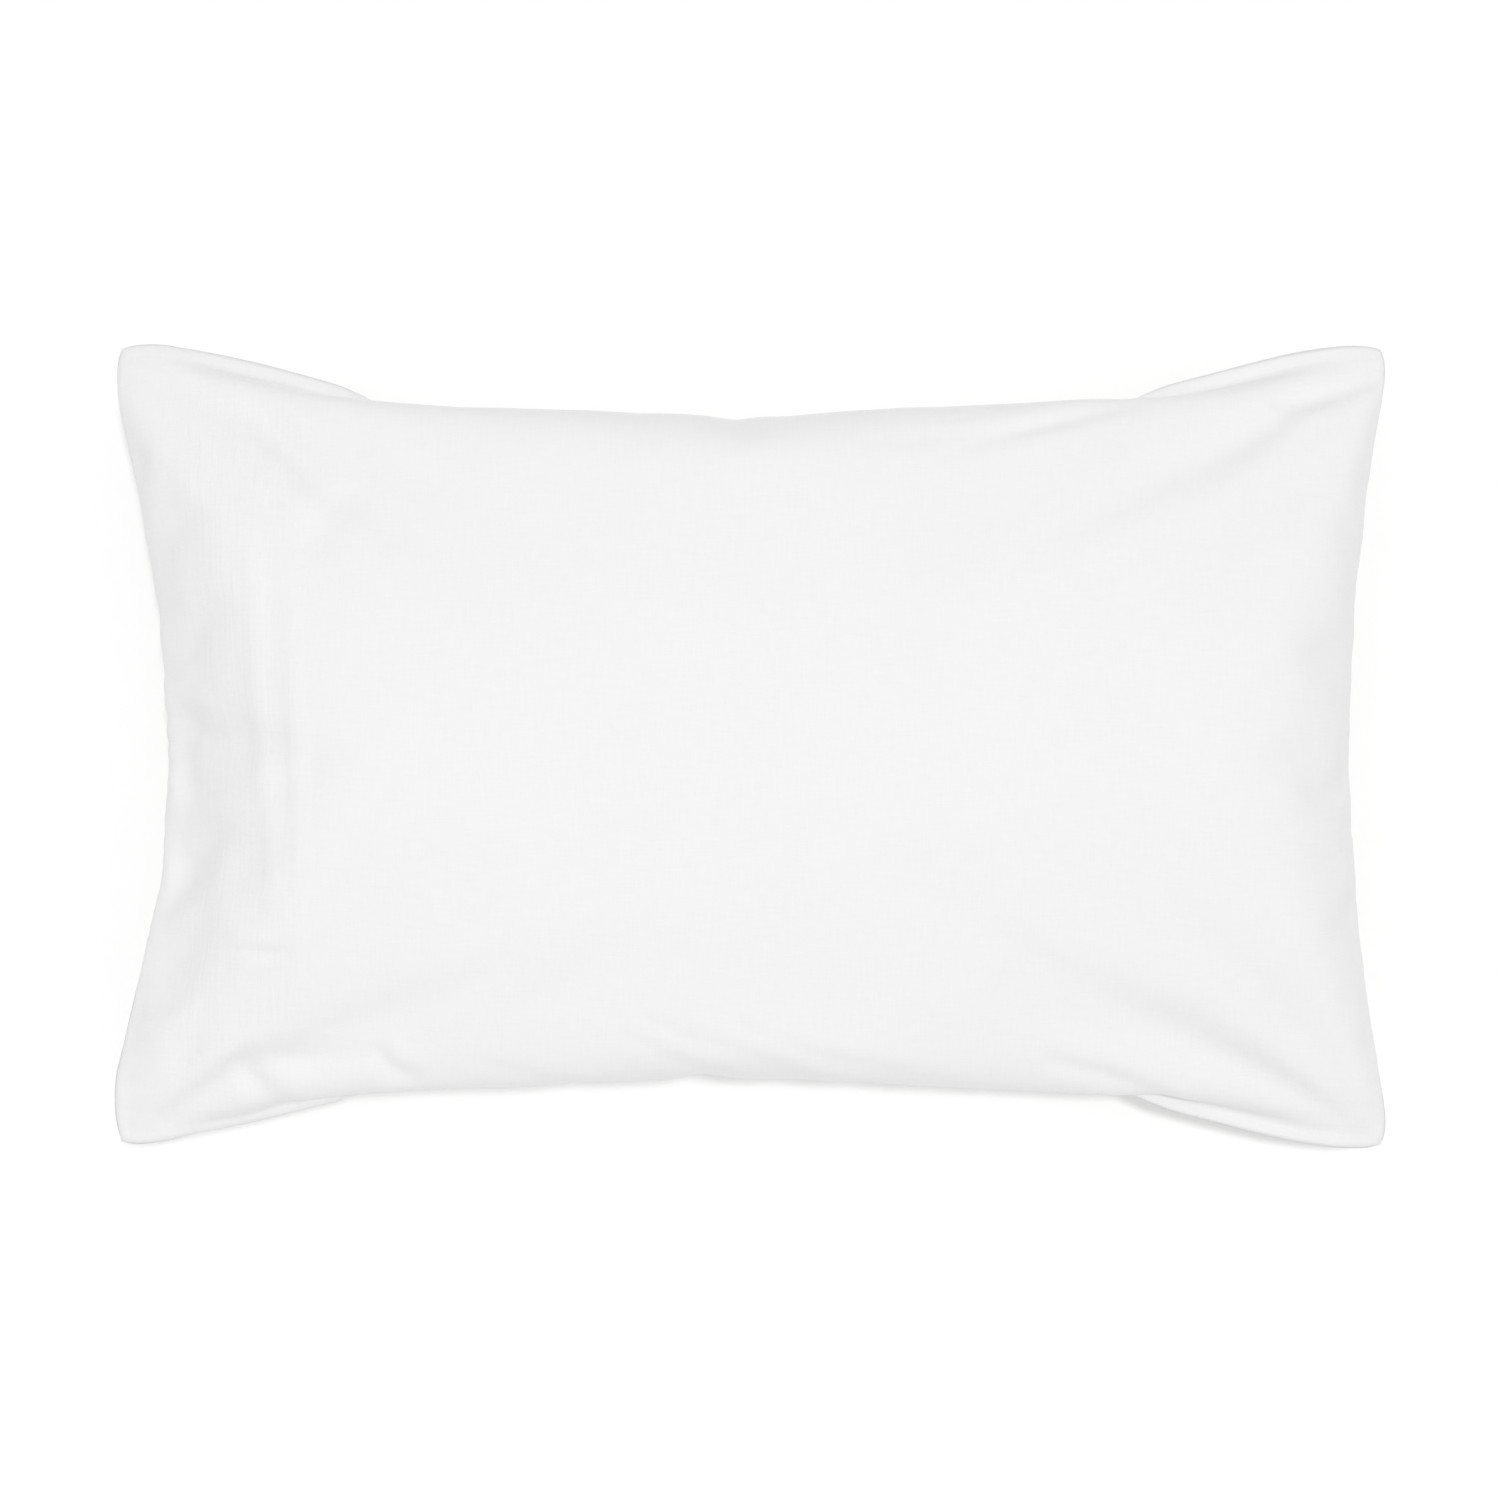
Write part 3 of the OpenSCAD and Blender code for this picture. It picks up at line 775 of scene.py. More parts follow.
def makeOverlock():
    path = evenly(seamWalk(), seamShape["loopPitch"])
    ahead, right = headings(path)
    reach, edge = seamShape["loopReach"], seamShape["width"] + 0.0004
    high = seamShape["lift"]
    # one stitch: over the ply, round the raw edge, back below it, and on to the next stitch
    stitch = polyLine("overlockStitch", [
        (-0.0012, edge - reach, high), (-0.0004, edge - reach * 0.5, high * 1.05),
        (0.0, edge - 0.0002, high * 0.9), (0.0001, edge + 0.0003, 0.0), (0.0003, edge - 0.0002, -high * 0.9),
        (0.0009, edge - reach * 0.5, -high * 1.05), (0.0017, edge - reach, -high)], False)
    stitch = roundThread(stitch, seamShape["threadWidth"] / 2, 0)
    places = [levelPlace(*spots) for spots in zip(path[1:-1], ahead[1:-1], right[1:-1])]
    return repeatPiece("caseOverlock", stitch, places)


# the zip, on the arc of the drawn-in end; heights and the arc come from the joints and the CAD boxes
zipParts = dict(
    chainInset=0.0115, tapeWidth=0.009, coilWidth=0.00115, coilGap=0.0007, coilWire=0.00038, pitch=0.0015,
    tapeGap=0.00155, hemWidth=0.0064, hemInset=0.0006, hemPlay=0.0001,
    stitchLength=0.0022, stitchPitch=0.0029, stitchWidth=0.0004,
    labelSpan=0.032, labelReach=0.0175, labelPly=0.00014, labelCells=(28, 16))
arcX = travel["pos_m"][0]
chainRadius = math.hypot(swing["pos_m"][0] - arcX, swing["pos_m"][1])
edgeRadius = chainRadius - zipParts["chainInset"]
zipHalfTurn = zipShape["halfLength"] / chainRadius
coilLow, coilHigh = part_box("zip_coil_front")
chainHeight = (coilLow.z + coilHigh.z) / 2
coilHalfTurn = coilHigh.y / (chainRadius - zipParts["coilWidth"])


def onArc(inset, angle, height):
    reach = edgeRadius + inset
    return (arcX + reach * math.cos(angle), reach * math.sin(angle), height)


def arcPath(inset, height, halfTurn, count=120):
    # from +Y round to -Y, so that the right-hand side faces into the case
    return [onArc(inset, halfTurn * (1 - 2 * step / count), height) for step in range(count + 1)]


def makeTape(name, inset, cordSide):
    # a woven tape whose edge beside the coil is thicker, where the coil is sewn on
    width, low, high = zipParts["tapeWidth"], *(corner.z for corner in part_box("zip_tape_front"))
    middle, half = (low + high) / 2, (high - low) / 2
    section = [(-width / 2, half * 0.5), (-width / 2 + 0.0004, half * 0.6), (width / 2 - 0.0022, half * 0.6),
               (width / 2 - 0.0016, half), (width / 2 - 0.0002, half), (width / 2, half * 0.5),
               (width / 2, -half * 0.5), (width / 2 - 0.0002, -half), (width / 2 - 0.0016, -half),
               (width / 2 - 0.0022, -half * 0.6), (-width / 2 + 0.0004, -half * 0.6),
               (-width / 2, -half * 0.5)]
    section = [(cordSide * x, y) for x, y in section]
    return sweep(name, arcPath(inset + width / 2, middle, zipHalfTurn), section)


def makeCoil(name, centreInset, headSide):
    # one turn of the coil, flattened on its head's side, then the rest as copies
    width, height = zipParts["coilWidth"], coilHigh.z - coilLow.z
    wire, pitch = zipParts["coilWire"], zipParts["pitch"]
    across, tall = width / 2 - wire / 2, height / 2 - wire / 2
    turn = polyLine("coilTurn", [
        (-0.5 * pitch, -across, -tall * 0.5), (-0.38 * pitch, -across * 0.2, -tall),
        (-0.28 * pitch, across * 0.8, -tall), (-0.1 * pitch, across, -tall * 0.35),
        (0.1 * pitch, across, tall * 0.35), (0.28 * pitch, across * 0.8, tall),
        (0.38 * pitch, -across * 0.2, tall), (0.5 * pitch, -across, tall * 0.5),
        (0.5 * pitch, -across, -tall * 0.5)], False)
    turn = roundThread(turn, wire / 2, 1)
    places = []
    count = int(2 * coilHalfTurn * chainRadius / pitch) - 1
    for step in range(count):
        angle = -coilHalfTurn + (step + 1 + 0.25 * headSide) * pitch / chainRadius
        along = (-math.sin(angle), math.cos(angle), 0)
        away = (math.cos(angle) * headSide, math.sin(angle) * headSide, 0)
        places.append(levelPlace(onArc(centreInset, angle, chainHeight), along, away))
    coil = repeatPiece(name, turn, places)
    if headSide < 0:  # the mirrored turns would be inside out
        closeUp(coil, 0.0)
    return coil


def makeHem(name, inset, low, high, folded):
    # a panel's edge folded on itself, with a softly rounded fold and a slight ripple
    width, height = zipParts["hemWidth"], high - low
    section = roundBar(width, height, min(height, width) * (0.48 if folded else 0.3))
    hem = sweep(name, arcPath(inset + width / 2, (low + high) / 2, zipHalfTurn, 160), section)
    points = pointsOf(hem.data)
    if folded:
        points[:, 0] -= endSwing(points[:, 1] * 2 / caseShape["cornerWidth"])
    points[:, 2] += 0.10 * height * wavering(points[:, :2], 0.012, 31.0)
    putPoints(hem.data, points)
    return hem


def makeStitches(name, inset, height):
    deselectAll()
    bpy.ops.mesh.primitive_cylinder_add(vertices=6, radius=zipParts["stitchWidth"] / 2,
                                        depth=zipParts["stitchLength"], rotation=(0, math.pi / 2, 0))
    stitch = bpy.context.object
    applyPlace(stitch)
    makeActive(stitch)
    bpy.ops.object.mode_set(mode="EDIT")
    bpy.ops.mesh.select_all(action="SELECT")
    bpy.ops.mesh.bevel(offset=zipParts["stitchWidth"] * 0.35, segments=1, affect="EDGES", clamp_overlap=True)
    bpy.ops.object.mode_set(mode="OBJECT")
    # each stitch dips into the tape at its ends
    points = pointsOf(stitch.data)
    bow = 1 - (points[:, 0] * 2 / zipParts["stitchLength"]) ** 2
    points[:, 2] = points[:, 2] * (0.55 + 0.45 * bow) + zipParts["stitchWidth"] * 0.12 * (1 - bow)
    putPoints(stitch.data, points)
    count = int(2 * zipShape["halfLength"] / zipParts["stitchPitch"])
    places = []
    for step in range(count):
        angle = zipHalfTurn * (2 * (step + 0.5) / count - 1)
        along = (-math.sin(angle), math.cos(angle), 0)
        inside = (-math.cos(angle), -math.sin(angle), 0)
        places.append(levelPlace(onArc(inset, angle, height), along, inside))
    return repeatPiece(name, stitch, places)


def softenedCopy(name, node, bevel):
    # a copy of a CAD solid with its loose triangles merged and its edges broken
    piece = frame["nodes"][node].copy()
    piece.data = piece.data.copy()
    for key in list(piece.keys()):
        del piece[key]
    piece.parent = None
    piece.matrix_world = Matrix.Identity(4)
    piece.name = name
    bpy.context.scene.collection.objects.link(piece)
    closeUp(piece, 0.000001)
    bpy.ops.object.mode_set(mode="EDIT")
    bpy.ops.mesh.dissolve_limited(angle_limit=math.radians(1))
    bpy.ops.object.mode_set(mode="OBJECT")
    edges = piece.modifiers.new("brokenEdges", "BEVEL")
    edges.width = bevel
    edges.segments = 2
    edges.limit_method = "ANGLE"
    edges.angle_limit = math.radians(35)
    applyModifier(piece, edges)
    return piece


def foldedLabel(name, spot, angle, span, reach, ply, droop):
    # a satin ribbon folded in two: both cut ends are sewn in, and the fold is the free edge
    label = addGrid(name, *zipParts["labelCells"])
    shares = pointsOf(label.data)
    run = (shares[:, 0] + 1) / 2                       # 0 at one cut end, 1 at the other
    gap = ply * 1.1
    out = np.where(run < 0.5, run, 1 - run) * 2
    turn = ease(np.abs(run - 0.5), 0.0, 0.03)
    away = out * reach
    side = np.where(run < 0.5, 1, -1) * turn * gap
    across = shares[:, 1] * span / 2
    curl = droop * out ** 2 * (1 + 0.3 * np.sin(shares[:, 1] * 2.2))
    ripple = 0.0002 * np.sin(shares[:, 1] * 7 + out * 3) * out
    east, north = math.cos(angle), math.sin(angle)
    points = np.stack([spot[0] + away * east - across * north, spot[1] + away * north + across * east,
                       spot[2] + side + curl + ripple], axis=1)
    putPoints(label.data, points)
    applyThick(label, ply, 0)
    return label


# the insert: everything inside it keeps clear of the case by what the case's own cloth leaves
insertShape = dict(
    lowX=-0.323, highX=0.3562, width=0.4332, zipEndDraw=0.032, closedEndDraw=0.0232, sideDraw=0.0361,
    straightShare=0.6, tipPower=28, seamHeight=0.072, clearance=0.0026, sewnInset=0.0022,
    tickingThickness=0.0005, tickingRim=0.0009, cells=(96, 64), pipingRadius=0.002, flangeReach=0.006,
    tickingFlat=(0.44, 0.68), gathers=0.0011, lumps=0.0009)
fillShape = dict(battingInset=0.007, battingClear=0.0045, battingThickness=0.014, coreInset=0.024,
                 coreClear=0.0200, cells=(60, 40), tuft=0.0022, fullness=0.62,
                 outerRim=0.0024, innerRim=0.0012, coreRim=0.001)


def insertPlan(u, v, inset):
    # where the shares u and v of the insert's half length and half width lie in plan
    half = insertShape["width"] / 2
    draw = np.where(u < 0, insertShape["zipEndDraw"], insertShape["closedEndDraw"])
    radius = (half ** 2 + draw ** 2) / (2 * draw)
    halfLength = (insertShape["highX"] - insertShape["lowX"]) / 2
    reach = halfLength - draw + radius - np.sqrt(radius ** 2 - (v * half) ** 2) - inset
    straight = insertShape["straightShare"]
    turn = np.clip((np.abs(u) - straight) / (1 - straight), 0, 1)
    side = half - insertShape["sideDraw"] * (1 + np.cos(np.pi * turn)) / 2 - inset
    side = side - sideTuck(u, v)
    power = insertShape["tipPower"]
    tip = 1 - np.abs(u * v) ** power * half / (half * (power + 1) + halfLength * power)
    middle = (insertShape["highX"] + insertShape["lowX"]) / 2
    return middle + u * reach * tip, v * side * tip


def evened(field, shape, times):
    # averages a field over a grid with its neighbours
    grid = np.asarray(field).reshape(shape[1] + 1, shape[0] + 1).copy()
    for _ in range(times):
        wide = np.pad(grid, 1, mode="edge")
        grid = (wide[:-2, 1:-1] + wide[2:, 1:-1] + wide[1:-1, :-2] + wide[1:-1, 2:]) / 4
    return grid.ravel()


def caseHeights(x, y):
    # the heights of the front's and the back's outside at each place, or the seam's where there is no cloth
    tops, feet = [], []
    for px, py in zip(x, y):
        top = frontTree.ray_cast(Vector((px, py, 1)), Vector((0, 0, -1)))[0]
        foot = backTree.ray_cast(Vector((px, py, -1)), Vector((0, 0, 1)))[0]
        tops.append(top.z if top else insertShape["seamHeight"])
        feet.append(foot.z if foot else insertShape["seamHeight"])
    return np.array(tops), np.array(feet)


def roomInCase(x, y, shape):
    # the heights between which the case leaves room, evened out and then kept clear of every fold
    tops, feet = caseHeights(x, y)
    tops = tops - caseShape["clothThickness"]
    feet = feet + caseShape["clothThickness"]
    clear = insertShape["clearance"]
    high = np.minimum(evened(tops, shape, 6), tops + 0.001) - clear
    low = np.maximum(evened(feet, shape, 6), feet - 0.001) + clear
    return low, high


def crownShare(u, v):
    return np.maximum(0, (1 - np.abs(u) ** 5) * (1 - np.abs(v) ** 4)) ** 0.5


def gridShares(piece):
    # the shares crowd together towards the rim, where the shape turns fastest
    shares = pointsOf(piece.data)
    return np.sin(np.pi / 2 * shares[:, 0]), np.sin(np.pi / 2 * shares[:, 1])


def insertHeights(u, v, x, y, shape, extra, rim):
    # the lower and upper heights of a layer that lies extra deep under the cloth and is rim thick at its edge
    low, high = roomInCase(x, y, shape)
    middle = np.clip(insertShape["seamHeight"], low + 0.2 * (high - low), high - 0.2 * (high - low))
    crown = crownShare(u, v)
    upper = middle + rim + np.maximum(high - extra - middle - rim, 0) * crown
    lower = middle - rim - np.maximum(middle - low - extra - rim, 0) * crown
    return lower, upper


def makeTicking(name, side):
    ticking = addGrid(name, *insertShape["cells"], side < 0)
    u, v = gridShares(ticking)
    x, y = insertPlan(u, v, insertShape["sewnInset"])
    lower, upper = insertHeights(u, v, x, y, insertShape["cells"], 0.0, insertShape["tickingRim"])
    height = upper if side > 0 else lower
    plan = np.stack([x, y], axis=1)
    lumps = wavering(plan, 0.05, 41.0 + side) + wavering(plan, 0.02, 42.0)
    fromEdge = np.minimum(1 - np.abs(u), 1 - np.abs(v))
    edge = ease(fromEdge, 0.0, 0.12)
    height = height - side * insertShape["lumps"] * edge * (lumps + 1.2)
    # gathers run in from the piped seam
    run = np.where(np.abs(u) > np.abs(v), y, x)
    gathers = wavering(np.stack([run, 0 * run], axis=1), 0.009, 43.0 + side)
    fading = edge * (1 - ease(fromEdge, 0.04, 0.3))
    height = height - side * insertShape["gathers"] * (gathers + 0.6) * fading
    putPoints(ticking.data, np.stack([x, y, height], axis=1))
    applyThick(ticking, insertShape["tickingThickness"])
    return ticking


def insertEdge(inset, spacing):
    # the insert's outline, clockwise, at the height of its seam
    turns = [(-1, -1), (-1, 1), (1, 1), (1, -1), (-1, -1)]
    shares = []
    for (u0, v0), (u1, v1) in zip(turns, turns[1:]):
        shares += [(u0 + (u1 - u0) * step / 200, v0 + (v1 - v0) * step / 200) for step in range(200)]
    u, v = np.array(shares).T
    x, y = insertPlan(u, v, inset)
    high, low = caseHeights(x, y)
    low, high = low + insertShape["clearance"], high - insertShape["clearance"]
    z = np.clip(insertShape["seamHeight"], low + 0.2 * (high - low), high - 0.2 * (high - low))
    for _ in range(12):
        z = (np.roll(z, 1) + z + np.roll(z, -1)) / 3
    loop = np.stack([x, y, z], axis=1)
    return evenly(np.concatenate([loop, loop[:1]]), spacing)[:-1]


def makePiping():
    # a covered cord outside the seam, and its flange between the two halves of the ticking
    path = insertEdge(0.0, 0.005)
    radius = insertShape["pipingRadius"]
    section = []
    for step in range(9):
        angle = math.radians(20 + 320 * step / 8)
        section.append((radius * math.cos(angle), radius * math.sin(angle)))
    section += [(insertShape["flangeReach"], -0.0003), (insertShape["flangeReach"], 0.0003)]
    piping = sweep("insertPiping", path, section, closed=True)
    points = pointsOf(piping.data)
    points[:, 2] += 0.00012 * wavering(points[:, :2], 0.006, 51.0)
    putPoints(piping.data, points)
    return piping


def paddedSlab(name):
    pad = addGrid(name, *fillShape["cells"])
    bpy.ops.object.mode_set(mode="EDIT")
    bpy.ops.mesh.select_all(action="SELECT")
    bpy.ops.mesh.extrude_region_move(TRANSFORM_OT_translate={"value": (0, 0, 1)})
    bpy.ops.mesh.select_all(action="SELECT")
    bpy.ops.mesh.normals_make_consistent(inside=False)
    bpy.ops.object.mode_set(mode="OBJECT")
    isTop = pointsOf(pad.data)[:, 2] > 0.5
    return pad, isTop


def tufted(points, size, seed):
    spots = points / size
    return np.array([noise.fractal(Vector((*spot[:2], spot[2] + seed)), 0.7, 2.1, 3) for spot in spots])


def makeBatting(name, side):
    pad, isTop = paddedSlab(name)
    u, v = gridShares(pad)
    outer = isTop if side > 0 else ~isTop
    x, y = insertPlan(u, v, fillShape["battingInset"])
    xIn, yIn = insertPlan(u, v, fillShape["battingInset"] + fillShape["battingThickness"])
    height = np.zeros(len(x))
    for part in (isTop, ~isTop):
        px, py = np.where(outer, x, xIn)[part], np.where(outer, y, yIn)[part]
        isOuter = bool(outer[part][0])
        inner = 0 if isOuter else fillShape["battingThickness"]
        extra = fillShape["battingClear"] - insertShape["clearance"] + inner
        rim = fillShape["outerRim"] if isOuter else fillShape["innerRim"]
        lower, upper = insertHeights(u[part], v[part], px, py, fillShape["cells"], extra, rim)
        height[part] = upper if side > 0 else lower
    points = np.stack([np.where(outer, x, xIn), np.where(outer, y, yIn), height], axis=1)
    edge = ease(np.minimum(1 - np.abs(u), 1 - np.abs(v)), 0.0, 0.1)
    clumps = (tufted(points, 0.03, 3.0) + 0.9) * 0.5
    points[:, 2] += np.where(outer, -side, side) * fillShape["tuft"] * edge * clumps
    putPoints(pad.data, points)
    applyFiner(pad)
    return pad


def makeCore():
    pad, isTop = paddedSlab("fillCore")
    u, v = gridShares(pad)
    x, y = insertPlan(u, v, fillShape["coreInset"])
    height = np.zeros(len(x))
    for part in (isTop, ~isTop):
        extra = fillShape["coreClear"] - insertShape["clearance"]
        lower, upper = insertHeights(u[part], v[part], x[part], y[part], fillShape["cells"], extra,
                                     fillShape["coreRim"])
        height[part] = upper if isTop[part][0] else lower
    points = np.stack([x, y, height], axis=1)
    edge = ease(np.minimum(1 - np.abs(u), 1 - np.abs(v)), 0.0, 0.1)
    clumps = tufted(points, 0.035, 9.0) + 0.5 * tufted(points, 0.012, 12.0)
    points[:, 2] += np.where(isTop, -1, 1) * fillShape["tuft"] * edge * (clumps + 1.3)
    putPoints(pad.data, points)
    applyFiner(pad)
    return pad


def twill(name, tint, warmth):
    # herringbone ticking: slanted ribs that turn back every few millimetres
    finish, mottle = softBase(name, tint, warmth)
    along, across, _ = finish.axes(finish.objectPlace())
    stripe = (across / 0.012).maths("PINGPONG", 1.0)
    ribs = ((along + stripe * 0.012) * (2 * math.pi / 0.0012)).sine()
    slubs = finish.noise(finish.objectPlace(), 260.0, 3.0)
    tone = mottle * 0.5 + ribs * 0.12 + 0.3
    colour = finish.mix(tone, tinted(tint, warmth, 0.9), tinted(tint, warmth))
    woven = finish.bump(ribs * 0.5 + slubs * 0.4, 0.00012, 0.6, finish.bump(mottle, 0.0008, 0.4))
    return finish.set(Base_Color=colour, Normal=woven)


def cordCover(name, tint, warmth):
    # bias-cut cotton over a twisted cord, which shows through as low slanting ridges
    finish, mottle = softBase(name, tint, warmth)
    along, across, up = finish.axes(finish.objectPlace())
    ridges = ((along + across + up * 1.5) * (2 * math.pi / 0.0034)).sine()
    grain = finish.noise(finish.objectPlace(), 900.0, 3.0)
    raised = finish.bump(grain, 0.0001, 0.5, finish.bump(ridges, 0.00025, 0.5))
    return finish.set(Normal=raised)


def fibre(name, tint):
    # tangled hollow fibre: strands at two sizes, with painted shade: the soft hollows and the gaps between
    # strands are painted a little darker
    finish = Finish(name)
    place = finish.objectPlace()
    clumps = finish.noise(place, 55.0, 4.0, 0.6)
    wander = finish.node("ShaderNodeVectorMath", 0, {"operation": "SCALE"},
                         n0=finish.noise(place, 90.0, 2.0, 0.5, 1), Scale=0.012)
    bent = finish.node("ShaderNodeVectorMath", 0, {"operation": "ADD"}, n0=place, n1=wander)
    strands = finish.node("ShaderNodeTexNoise", 0, {"noise_type": "RIDGED_MULTIFRACTAL"}, Vector=bent,
                          Scale=420.0, Detail=3.0)
    # painted shade: the colour darkens where the bump is low, in the hollows between clumps and the gaps
    # between strands
    tone = clumps * 0.7 + strands * 0.25
    colour = finish.mix(tone, (tint * 0.8, tint * 0.8, tint * 0.82, 1), tinted(tint))
    fluffy = finish.bump(strands, 0.0007, 0.6, finish.bump(clumps, 0.004, 0.5))
    return finish.set(Base_Color=colour, Roughness=0.9 + (clumps - 0.5) * 0.1, Normal=fluffy,
                      Sheen_Weight=0.5, Specular_IOR_Level=0.2)


def spunThread(name, tint):
    finish, mottle = softBase(name, tint, 0.98, 0.3, 0.7)
    along, across, _ = finish.axes(finish.objectPlace())
    twist = ((along + across) * (2 * math.pi / 0.0005)).sine()
    return finish.set(Normal=finish.bump(twist + mottle, 0.00006, 0.6))


def wovenTape(name, tint):
    # the weave follows the zip's arc: ribs across the tape, and warp lines along it
    finish, mottle = softBase(name, tint, 0.985)
    out, across, _ = finish.axes(finish.objectPlace())
    out = out - arcX
    reach = (out * out + across * across) ** 0.5
    run = across.maths("ARCTAN2", out) * chainRadius
    ribs = (run * (2 * math.pi / 0.0009)).sine()
    lines = (reach * (2 * math.pi / 0.0007)).sine()
    weave = ribs * lines * 0.5 + lines * 0.3
    tone = mottle * 0.5 + weave * 0.2 + 0.3
    colour = finish.mix(tone, (tint * 0.86, tint * 0.86, tint * 0.85, 1), tinted(tint, 0.985))
    return finish.set(Base_Color=colour, Normal=finish.bump(weave, 0.00012, 0.7))


def nylon(name, tint):
    finish = Finish(name)
    cloud = finish.noise(finish.objectPlace(), 300.0, 3.0)
    colour = finish.mix(cloud, (tint * 0.93, tint * 0.93, tint * 0.92, 1), tinted(tint, 0.99))
    return finish.set(Base_Color=colour, Roughness=0.32 + cloud * 0.12, Coat_Weight=0.1,
                      Normal=finish.bump(cloud, 0.00003, 0.4))


def enamel(name, tint):
    # baked white enamel over zinc, a little dulled and with a faint orange peel
    finish = Finish(name)
    place = finish.objectPlace()
    cloud = finish.noise(place, 500.0, 3.0)
    rubs = finish.stretchedNoise(place, (400, 60, 900), 4.0, 0.7)
    worn = ((rubs - 0.66) * 6.0).maths("SMOOTH_MIN", 1.0, 0.02).maths("MAXIMUM", 0.0)
    colour = finish.mix(worn, tinted(tint), tinted(tint, 1.0, 0.8))
    return finish.set(Base_Color=colour, Roughness=0.24 + cloud * 0.1 + worn * 0.15, Coat_Weight=0.35,
                      Metallic=worn * 0.5, Normal=finish.bump(cloud, 0.00004, 0.4))


def satin(name, tint):
    # a blank ribbon: fine warp floats and a soft gloss along them
    finish = Finish(name)
    place = finish.objectPlace()
    floats = finish.stretchedNoise(place, (300, 5200, 300), 2.0)
    cloud = finish.noise(place, 90.0, 3.0)
    colour = finish.mix(floats * 0.6 + cloud * 0.4, (tint * 0.9, tint * 0.9, tint * 0.89, 1), tinted(tint))
    return finish.set(Base_Color=colour, Roughness=0.36 + floats * 0.12, Sheen_Weight=0.2,
                      Normal=finish.bump(floats, 0.00004, 0.5))


def paleFloor():
    finish = Finish("paleFloor")
    cloud = finish.noise(finish.objectPlace(), 1.5, 3.0)
    tone = studio["floorTone"]
    colour = finish.mix(cloud, tinted(tone), tinted(tone, 1.0, 1.01))
    return finish.set(Base_Color=colour, Roughness=0.9, Specular_IOR_Level=0.1, Emission_Color=tinted(1.0),
                      Emission_Strength=studio["floorGlow"])


print("studio")
floor = setStudio()
giveMaterial(floor, paleFloor())

print("materials")
whitePercale = percale("whitePercale", 0.86, 1.0)
warmPercale = percale("warmPercale", 0.85, 0.972)
turnedPercale = percale("turnedPercale", 0.85, 0.972, False)
lipPercale = percale("lipPercale", 0.86, 1.0, False)
tickingTwill = twill("tickingTwill", 0.82, 0.97)
pipingCotton = cordCover("pipingCotton", 0.80, 0.965)
hollowFibrePaintedShade = fibre("hollowFibrePaintedShade", 0.90)
sewingThread = spunThread("sewingThread", 0.85)
tapeWeave = wovenTape("tapeWeave", 0.80)
coilNylon = nylon("coilNylon", 0.80)
whiteEnamel = enamel("whiteEnamel", 0.76)
labelSatin = satin("labelSatin", 0.86)

print("case: inflating the panels")
caseFront, caseBack = inflatePanels()
finishPanel(caseFront, 1, frontFolds)
finishPanel(caseBack, -1, backFolds)
finishPiece(caseFront, ["case_front_panel"], whitePercale, smooth=180)
finishPiece(caseBack, ["case_back_panel"], warmPercale, smooth=180)
frontTree = BVHTree.FromObject(caseFront, bpy.context.evaluated_depsgraph_get())
backTree = BVHTree.FromObject(caseBack, bpy.context.evaluated_depsgraph_get())

print("case: seam allowances and overlocking")
caseSeam = finishPiece(makeSeam(), ["case_side_seams"], turnedPercale)
finishPiece(makeOverlock(), ["case_overlock_thread"], sewingThread, smooth=60)

print("zip: tapes, hems and stitching")
frontInset = zipParts["chainInset"] - zipParts["tapeGap"] - zipParts["tapeWidth"]
backInset = zipParts["chainInset"] + zipParts["tapeGap"]
tapeFront = makeTape("zipTapeFront", frontInset, 1)
finishPiece(tapeFront, ["zip_tape_front"], tapeWeave)
tapeBack = makeTape("zipTapeBack", backInset, -1)
finishPiece(tapeBack, ["zip_tape_back"], tapeWeave)
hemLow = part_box("case_zip_hem_front")[0].z
hemFront = makeHem("caseZipHemFront", zipParts["hemInset"], hemLow + zipParts["hemPlay"],
                   zipShape["hemTop"], True)
finishPiece(hemFront, ["case_zip_hem_front"], lipPercale)
hemLow, hemHigh = (corner.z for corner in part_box("case_zip_hem_back"))
hemBack = makeHem("caseZipHemBack", zipShape["backOpen"] + 0.0002, hemLow + zipParts["hemPlay"], hemHigh,
                  False)
finishPiece(hemBack, ["case_zip_hem_back"], turnedPercale)
for name, node, inset in (("zipStitchingFront", "zip_stitching_front", frontInset + 0.0032),
                          ("zipStitchingBack", "zip_stitching_back", zipShape["backOpen"] - 0.0006)):
    low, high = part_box(node)
    finishPiece(makeStitches(name, inset, (low.z + high.z) / 2), [node], sewingThread)

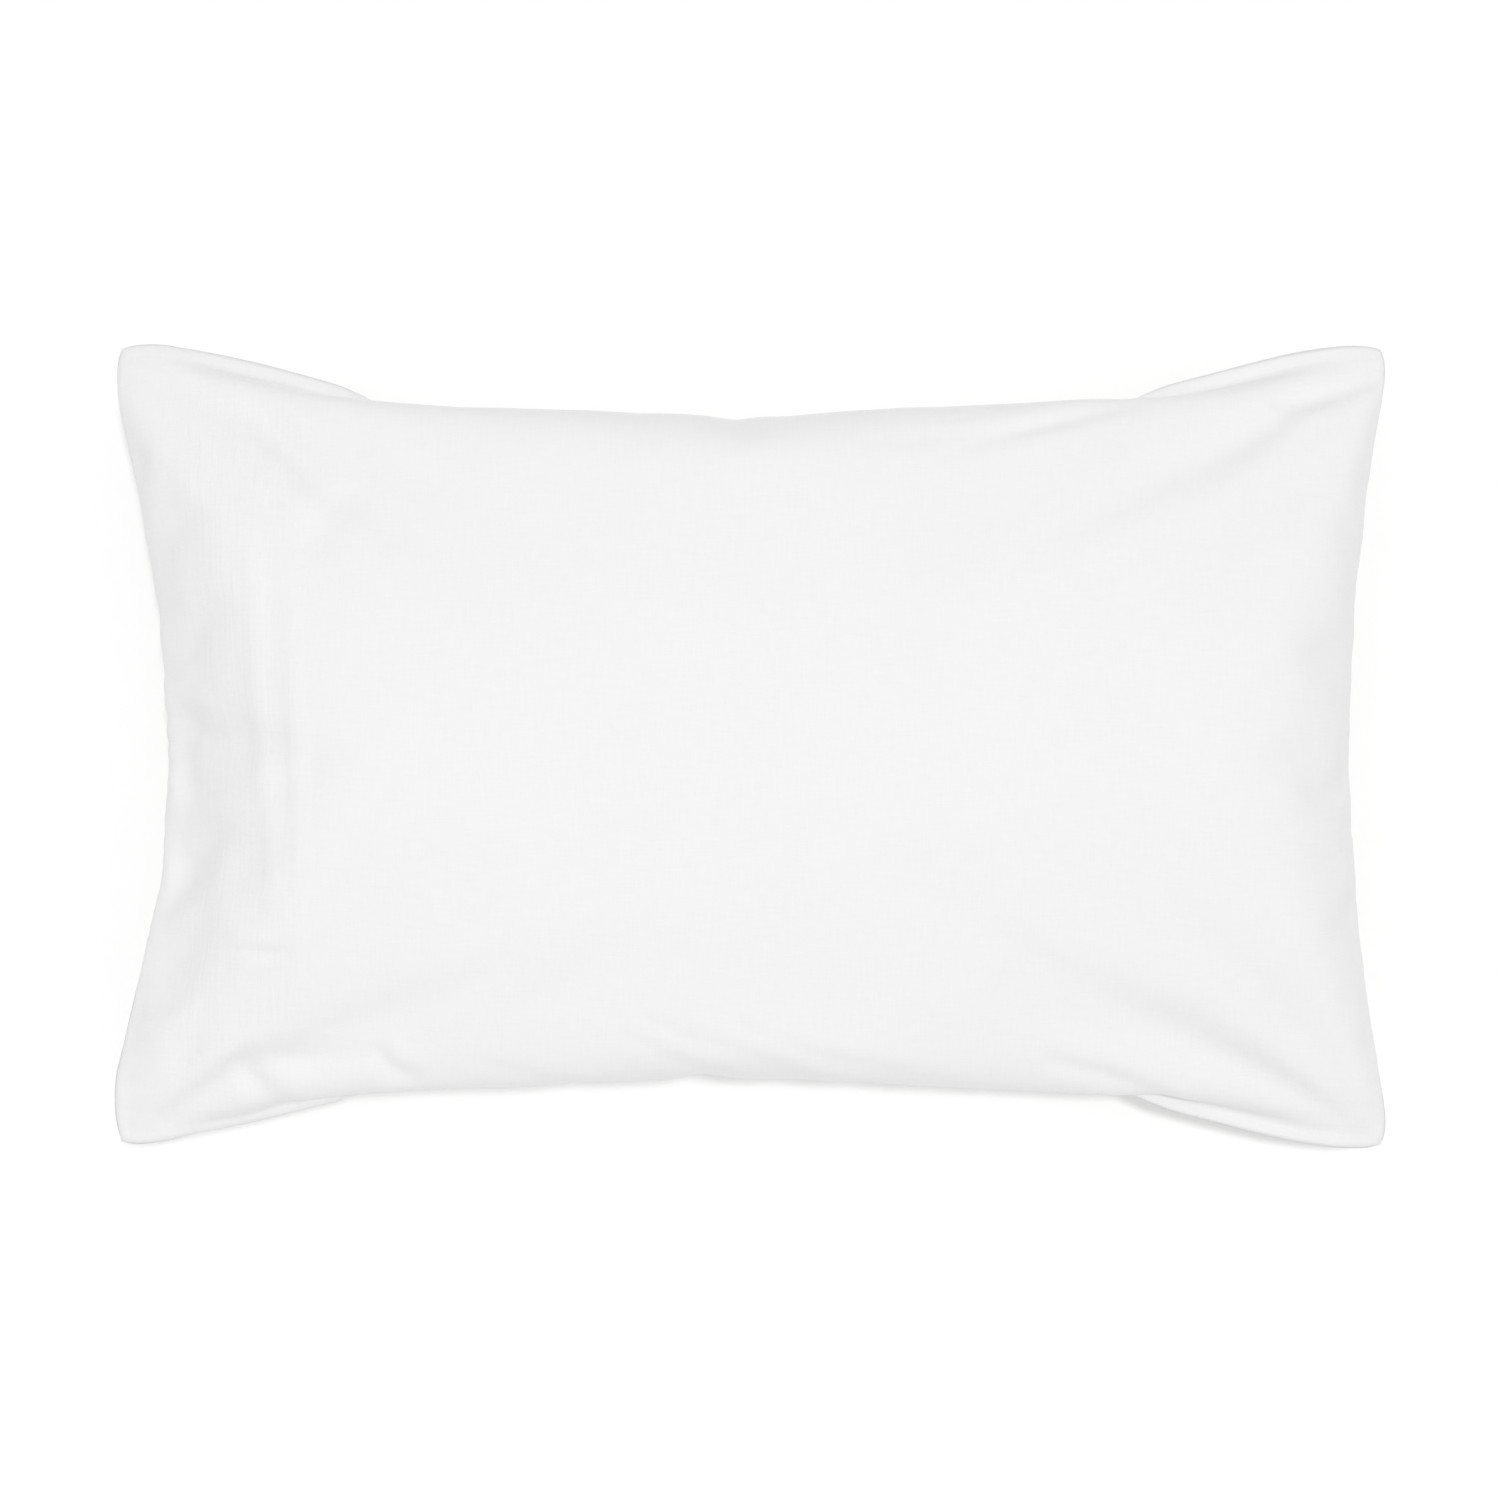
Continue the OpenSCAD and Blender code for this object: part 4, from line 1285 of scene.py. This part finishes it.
print("zip: coils, slider, pull tab and stops")
coilReach = zipParts["coilGap"] / 2 + zipParts["coilWidth"] / 2
coilFront = makeCoil("zipCoilFront", zipParts["chainInset"] - coilReach, 1)
finishPiece(coilFront, ["zip_coil_front"], coilNylon, smooth=60)
coilBack = makeCoil("zipCoilBack", zipParts["chainInset"] + coilReach, -1)
finishPiece(coilBack, ["zip_coil_back"], coilNylon, smooth=60)
for name, node, body, bevel in (("zipSlider", "zip_slider", "slider", 0.00022),
                                ("zipPullTab", "zip_pull_tab", "pull", 0.00018),
                                ("zipTopStops", "zip_top_stops", "root", 0.0002),
                                ("zipBottomStop", "zip_bottom_stop", "root", 0.00025)):
    finishPiece(softenedCopy(name, node, bevel), [node], whiteEnamel, body)

print("labels")
labelLow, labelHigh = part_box("case_care_label")
labelAngle = zipHalfTurn / 2 + zipParts["labelSpan"] / chainRadius / 2
careSpot = onArc(zipShape["backOpen"] + 0.001, labelAngle, (labelLow.z + labelHigh.z) / 2)
careLabel = foldedLabel("caseCareLabel", careSpot, labelAngle, zipParts["labelSpan"], zipParts["labelReach"],
                        zipParts["labelPly"], 0.0008)
finishPiece(careLabel, ["case_care_label"], labelSatin)

print("insert: ticking, piping and its label")
tickingTop = makeTicking("insertTickingTop", 1)
finishPiece(tickingTop, ["insert_ticking_top"], tickingTwill, smooth=180)
tickingBottom = makeTicking("insertTickingBottom", -1)
finishPiece(tickingBottom, ["insert_ticking_bottom"], tickingTwill, smooth=180)
insertPiping = makePiping()
finishPiece(insertPiping, ["insert_piping"], pipingCotton)
labelLow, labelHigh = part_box("insert_fibre_label")
fibreSpot = (labelHigh.x, (labelLow.y + labelHigh.y) / 2, (labelLow.z + labelHigh.z) / 2)
fibreLabel = foldedLabel("insertFibreLabel", fibreSpot, math.pi, labelHigh.y - labelLow.y,
                         labelHigh.x - labelLow.x, zipParts["labelPly"], -0.0012)
finishPiece(fibreLabel, ["insert_fibre_label"], labelSatin)

print("fill")
battingTop = makeBatting("fillBattingTop", 1)
finishPiece(battingTop, ["fill_batting_top"], hollowFibrePaintedShade, smooth=180)
battingBottom = makeBatting("fillBattingBottom", -1)
finishPiece(battingBottom, ["fill_batting_bottom"], hollowFibrePaintedShade, smooth=180)
fillCore = makeCore()
finishPiece(fillCore, ["fill_core"], hollowFibrePaintedShade, smooth=180)

low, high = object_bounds()
print("pillow box", [round(x, 4) for x in low], [round(x, 4) for x in high])
